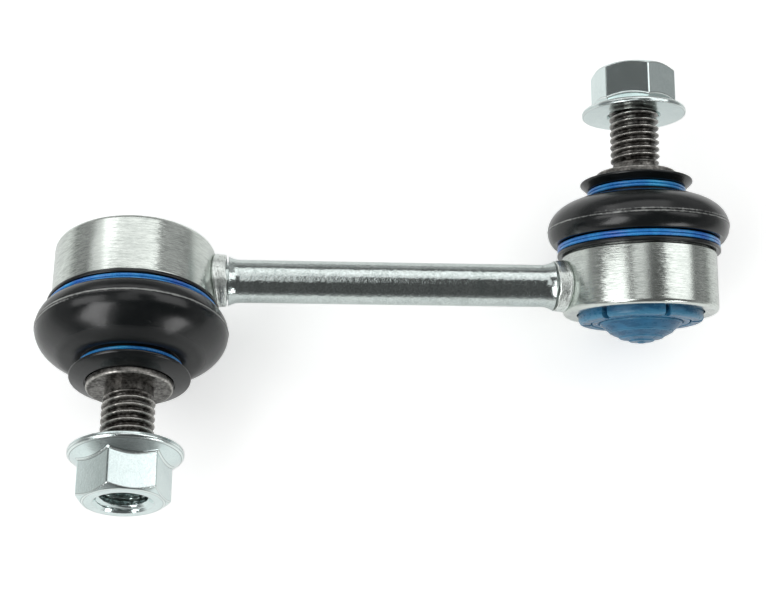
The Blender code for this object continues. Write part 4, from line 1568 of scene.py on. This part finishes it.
@dataclass
class Studio:
    """Camera, lamps, pale floor and surroundings."""

    camera_place: tuple[float, float, float] = (-36.756, -107.536, 322.277)
    right: tuple[float, float, float] = (0.994166, -0.021202, 0.105753)
    up: tuple[float, float, float] = (-0.014013, 0.946786, 0.321558)
    lens: float = 64.337
    sensor: float = 36.0
    clipping: tuple[float, float] = (0.01, 20.0)
    floor_size: float = 4.0
    floor_colour: Colour = (0.86, 0.87, 0.86)
    floor_glow: float = 0.50
    floor_gloss: float = 0.22
    floor_far: Colour = (0.50, 0.51, 0.50)
    floor_near_reach: float = 0.05
    floor_far_reach: float = 0.26
    horizon: float = 0.34
    ceiling: float = 0.10
    backdrop: float = 0.16
    top_of_grey: float = 0.55
    near_loss: float = 0.26
    near_side: tuple[float, float] = (-0.3, -0.9)
    side_loss: float = 0.35
    sides: tuple[float, float] = (0.6, 1.0)
    glow: Glow = Glow((0.62, 0.58, 0.53), 8.0, 28.0, 0.27)
    boxes: tuple[Softbox, ...] = (
        Softbox("top_box", (-0.075, -0.005, 0.500), (1.0, 0.0, 0.0), (0.19, 0.25), 0.80),
        Softbox("zenith_box", (0.20, 0.334, 0.855), (1.0, 0.0, 0.0), (0.60, 0.26), 0.95),
        Softbox("back_box", (-0.14, 0.620, 0.678), (1.0, 0.0, 0.0), (1.16, 0.44), 1.20),
        Softbox("left_back_box", (-0.47, 0.42, 0.38), (0.67, 0.74, 0.0), (0.34, 0.26),
                0.90),
        Softbox("left_box", (-0.650, -0.04, 0.580), (0.0, 1.0, 0.0), (0.33, 0.56), 2.00),
        Softbox("left_front_box", (-0.504, -0.504, 0.499), (0.090, 0.673, 0.734),
                (0.63, 0.34), 4.00),
        Softbox("right_box", (0.656, 0.12, 0.694), (0.0, 1.0, 0.0), (0.54, 0.66), 1.50),
        Softbox("right_front_box", (0.500, -0.70, 0.200), (0.81, 0.58, 0.0), (0.30, 0.26),
                3.80),
    )

    def camera(self) -> None:
        """Set the camera where the photograph was taken from."""
        data = bpy.data.cameras.new("photo_camera")
        data.sensor_width, data.sensor_fit, data.lens = self.sensor, "HORIZONTAL", self.lens
        data.clip_start, data.clip_end = self.clipping
        item = bpy.data.objects.new("photo_camera", data)
        right = Vector(self.right).normalized()
        up = (Vector(self.up) - right * Vector(self.up).dot(right)).normalized()
        turn = Matrix((right, up, right.cross(up))).transposed()
        item.matrix_world = Matrix.Translation(Vector(self.camera_place) * MM) @ turn.to_4x4()
        bpy.context.scene.collection.objects.link(item)
        bpy.context.scene.camera = item

    def floor(self) -> None:
        """Lay a pale floor that looks white to the camera and still takes a shadow.

        With p and q the distances past the ball centres' box in x and y, the floor grows
        darker as a smooth step of sqrt(p^2 + q^2), which the metal mirrors near the horizon,
        and the camera is given more glow there in return.
        """
        mesh = bpy.data.meshes.new("floor")
        half = self.floor_size / 2
        corners = [(-half, -half, 0), (half, -half, 0), (half, half, 0), (-half, half, 0)]
        mesh.from_pydata(corners, [], [(0, 1, 2, 3)])
        material = bpy.data.materials.new("pale_floor")
        material.use_nodes = True
        graph = Graph(material.node_tree)
        rays = graph.node("ShaderNodeLightPath").outputs
        x, y, _ = graph.parts(graph.node("ShaderNodeTexCoord").outputs["Object"])
        past = [abs(axis) - CENTRE_DISTANCE / 2 * MM for axis in (x, y)]
        past_x, past_y = ((axis + abs(axis)) * 0.5 for axis in past)
        away = (past_x * past_x + past_y * past_y) ** 0.5
        far = away.step(self.floor_near_reach, self.floor_far_reach)
        seen = Value(graph, rays["Is Camera Ray"]) * (far * self.floor_glow + self.floor_glow)
        mirrored = Value(graph, rays["Is Glossy Ray"]) * (1.0 - far) * self.floor_gloss
        colour = graph.mix(far, self.floor_colour, self.floor_far)
        matt = graph.node("ShaderNodeBsdfDiffuse", None, {"Color": colour})
        glow = graph.node("ShaderNodeEmission", None, {"Strength": seen + mirrored})
        both = graph.node("ShaderNodeAddShader", None, {0: matt.outputs[0], 1: glow.outputs[0]})
        graph.node("ShaderNodeOutputMaterial", None, {"Surface": both.outputs[0]})
        mesh.materials.append(material)
        item = bpy.data.objects.new("floor", mesh)
        bpy.context.scene.collection.objects.link(item)

    def world(self) -> None:
        """Surround the object with grey, and with white for the camera.

        The grey rises from the ceiling to the horizon, less so on the camera's side and
        towards both ends of the rod, and glows softly beside the back box. Glossy and
        transmitted rays also meet a share of the white backdrop, low down.
        """
        world = bpy.data.worlds.new("surroundings")
        world.use_nodes = True
        bpy.context.scene.world = world
        graph = Graph(world.node_tree)
        rays = graph.node("ShaderNodeLightPath").outputs
        seen = Value(graph, rays["Is Camera Ray"])
        mirrored, passed = (Value(graph, rays[name])
                            for name in ("Is Glossy Ray", "Is Transmission Ray"))
        direction = graph.node("ShaderNodeTexCoord").outputs["Generated"]
        x, y, z = graph.parts(direction)
        low = (z + y.step(*self.near_side) * self.near_loss).step(self.top_of_grey, 0.0)
        low = low * (1.0 - abs(x).step(*self.sides) * self.side_loss)
        grey = low * (self.horizon - self.ceiling) + self.ceiling
        grey = grey + self.glow.shade(graph, direction)
        grey = grey + (mirrored + passed) * low * self.backdrop
        strength = seen + (1.0 - seen) * grey
        around = graph.node("ShaderNodeBackground", None,
                            {"Color": (1.0, 1.0, 1.0, 1.0), "Strength": strength})
        graph.node("ShaderNodeOutputWorld", None, {"Surface": around.outputs[0]})

    def build(self) -> None:
        """Set up everything that isn't part of the object."""
        bpy.context.scene.view_settings.view_transform = "Standard"
        self.camera()
        self.floor()
        self.world()
        for box in self.boxes:
            box.hang()


def main() -> None:
    """Load the frame, build both ends and the rod, and light them."""
    logging.basicConfig(level=logging.INFO, format="%(name)s: %(message)s")
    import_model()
    lower = BallEnd("lower", -1, hex_phase=math.radians(46.0))
    upper = BallEnd("upper", 1, hex_phase=math.radians(35.0))
    boots = (Boot(lower, lip_lean=1.15, fold=1.5, collar_lift=0.4, flash_wear=1.2,
                  second_place=math.radians(200.0)),
             Boot(upper, lip_lean=0.15, flash_wear=0.85, second_place=math.radians(120.0)))
    rod = LinkRod(AxisFrame("rod", (0.0, 0.0, ROD_HEIGHT), (1.0, 0.0, 0.0), (0.0, 1.0, 0.0)))
    rod.drawn()
    for boot in boots:
        rod.weld(boot.side)
        housing = Housing(boot.side)
        housing.ring()
        housing.shell()
        housing.cap()
        boot.halves()
        boot.coils()
        Stud(boot.side).turned_stud()
        FlangeNut(boot.side).forged()
    Studio().build()


if __name__ == "__main__":
    main()
